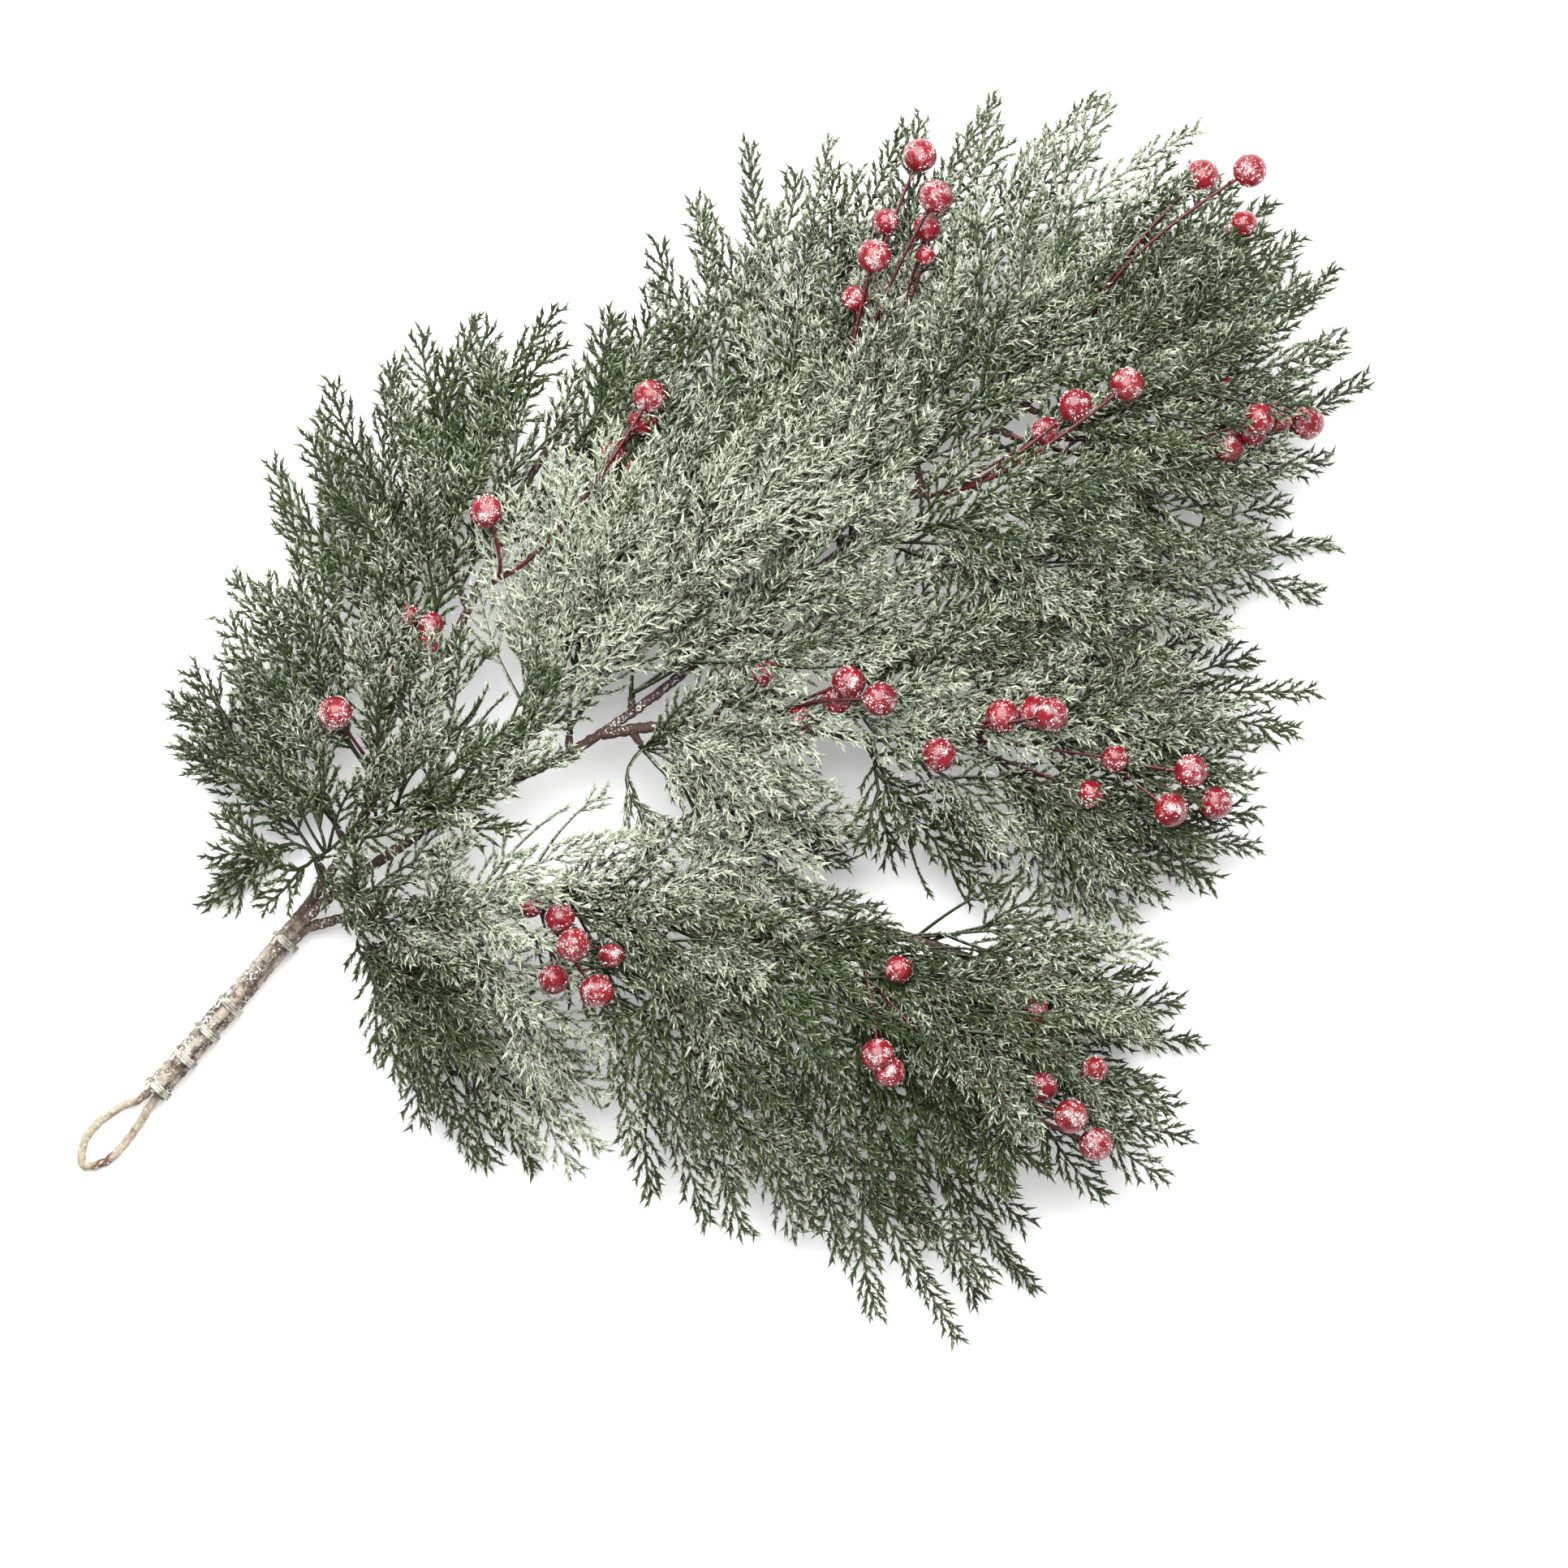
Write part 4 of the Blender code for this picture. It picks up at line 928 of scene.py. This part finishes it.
bract_shape = scale_shape("bract", sides=4, radius=0.0008, length=0.0034, middle=0.0029, tip=0.0046)
for number, (name, (_, _, places)) in enumerate(BUNCHES.items()):
    foot, out = feet[name], pegs[name][1]
    collar = [foot, foot + out * COLLAR_LENGTH / 2, foot + out * COLLAR_LENGTH]
    paths = [(collar, (COLLAR_RADIUS, PEG_RADIUS), (0, 0), 0)]
    for line in stalks[name]:
        shorter = even_line(line, 3)
        while (shorter[-1] - line[-1]).length < BERRY_RADIUS - 1:
            shorter.pop()
        paths.append((shorter, (STALK_RADIUS, STALK_RADIUS), (0.0, 1.0), 0))
    dots = [(Vector(p), BERRY_RADIUS) for p in places]
    for x, y, z, radius in SMALLER.get(name, []):
        place = Vector((x, y, z))
        middle = foot.lerp(place, 0.5) + STALK_SAG + out * 5
        paths.append((bowed(foot + out * 4, middle, place, 4)[:-1], THIN_STALK_RADII, (0.0, 1.0), 0))
        dots.append((place, radius))
    stems = grown(wires_of(name + "_wires", paths), needle_tree, name + "_stalks", Needle=bract_shape,
                  Spacing=BRACT_SPACING, Lean=BRACT_LEAN, Seed=number, Material=stalk_skin)
    mesh = bpy.data.meshes.new(name + "_dots")
    mesh.from_pydata([(p - PLAN_ORIGIN) * MM for p, _ in dots], [], [])
    marked(mesh, "thick", [radius * MM for _, radius in dots])
    balls = grown(new_object(name + "_dots", mesh), berry_tree, name + "_balls",
                  Crystals=CRYSTALS_A_SQUARE_METRE, Seed=number, Skin=berry_skin, Crystal=crystal_skin)
    for piece in (stems, balls):
        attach(piece, "root")
        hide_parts(name)
bpy.data.objects.remove(bract_shape)


# Floor, light and camera: a white paper ground, glowing faintly as painted light that lifts the shadows on
# it, under an even white sky, with one large soft lamp.
# The camera looks straight down, turned so that the handle points to the lower left.

FLOOR_SIZE = 6
FLOOR_Z = -0.0005
bpy.ops.mesh.primitive_plane_add(size=FLOOR_SIZE, location=(0, 0, FLOOR_Z))
floor = bpy.context.object
floor.name = "floor"
paper, tree, shader = new_material("white_paper_with_painted_glow")
shader.inputs["Base Color"].default_value = (0.92, 0.92, 0.92, 1)
# The floor's faint glow is painted light: it lifts the shadows on the floor between and around the sprays.
shader.inputs["Emission Color"].default_value = (1, 1, 1, 1)
shader.inputs["Emission Strength"].default_value = 0.21
shader.inputs["Roughness"].default_value = 0.9
floor.data.materials.append(paper)

sky = bpy.data.worlds.new("even_sky")
sky.use_nodes = True
sky.node_tree.nodes["Background"].inputs["Color"].default_value = (1, 1, 1, 1)
sky.node_tree.nodes["Background"].inputs["Strength"].default_value = 0.55
bpy.context.scene.world = sky

lamp = bpy.data.lights.new("soft_box", "AREA")
lamp.energy = 70
lamp.size = 1.5
softbox = new_object("soft_box", lamp)
softbox.location = (-0.6, 0.5, 1.35)
softbox.rotation_euler = (-softbox.location).to_track_quat("-Z", "Y").to_euler()

PHOTO_WIDTH = 0.6279
LENS = 200
SENSOR = 36
MIDDLE_HEIGHT = 0.035
lens = bpy.data.cameras.new("camera")
lens.lens = LENS
lens.sensor_width = SENSOR
camera = new_object("camera", lens)
bpy.context.scene.camera = camera
camera.location = (0.0112, -0.0038, PHOTO_WIDTH * LENS / SENSOR + MIDDLE_HEIGHT)
camera.rotation_euler = (0, 0, math.radians(41))

bpy.context.scene.view_settings.view_transform = "Standard"
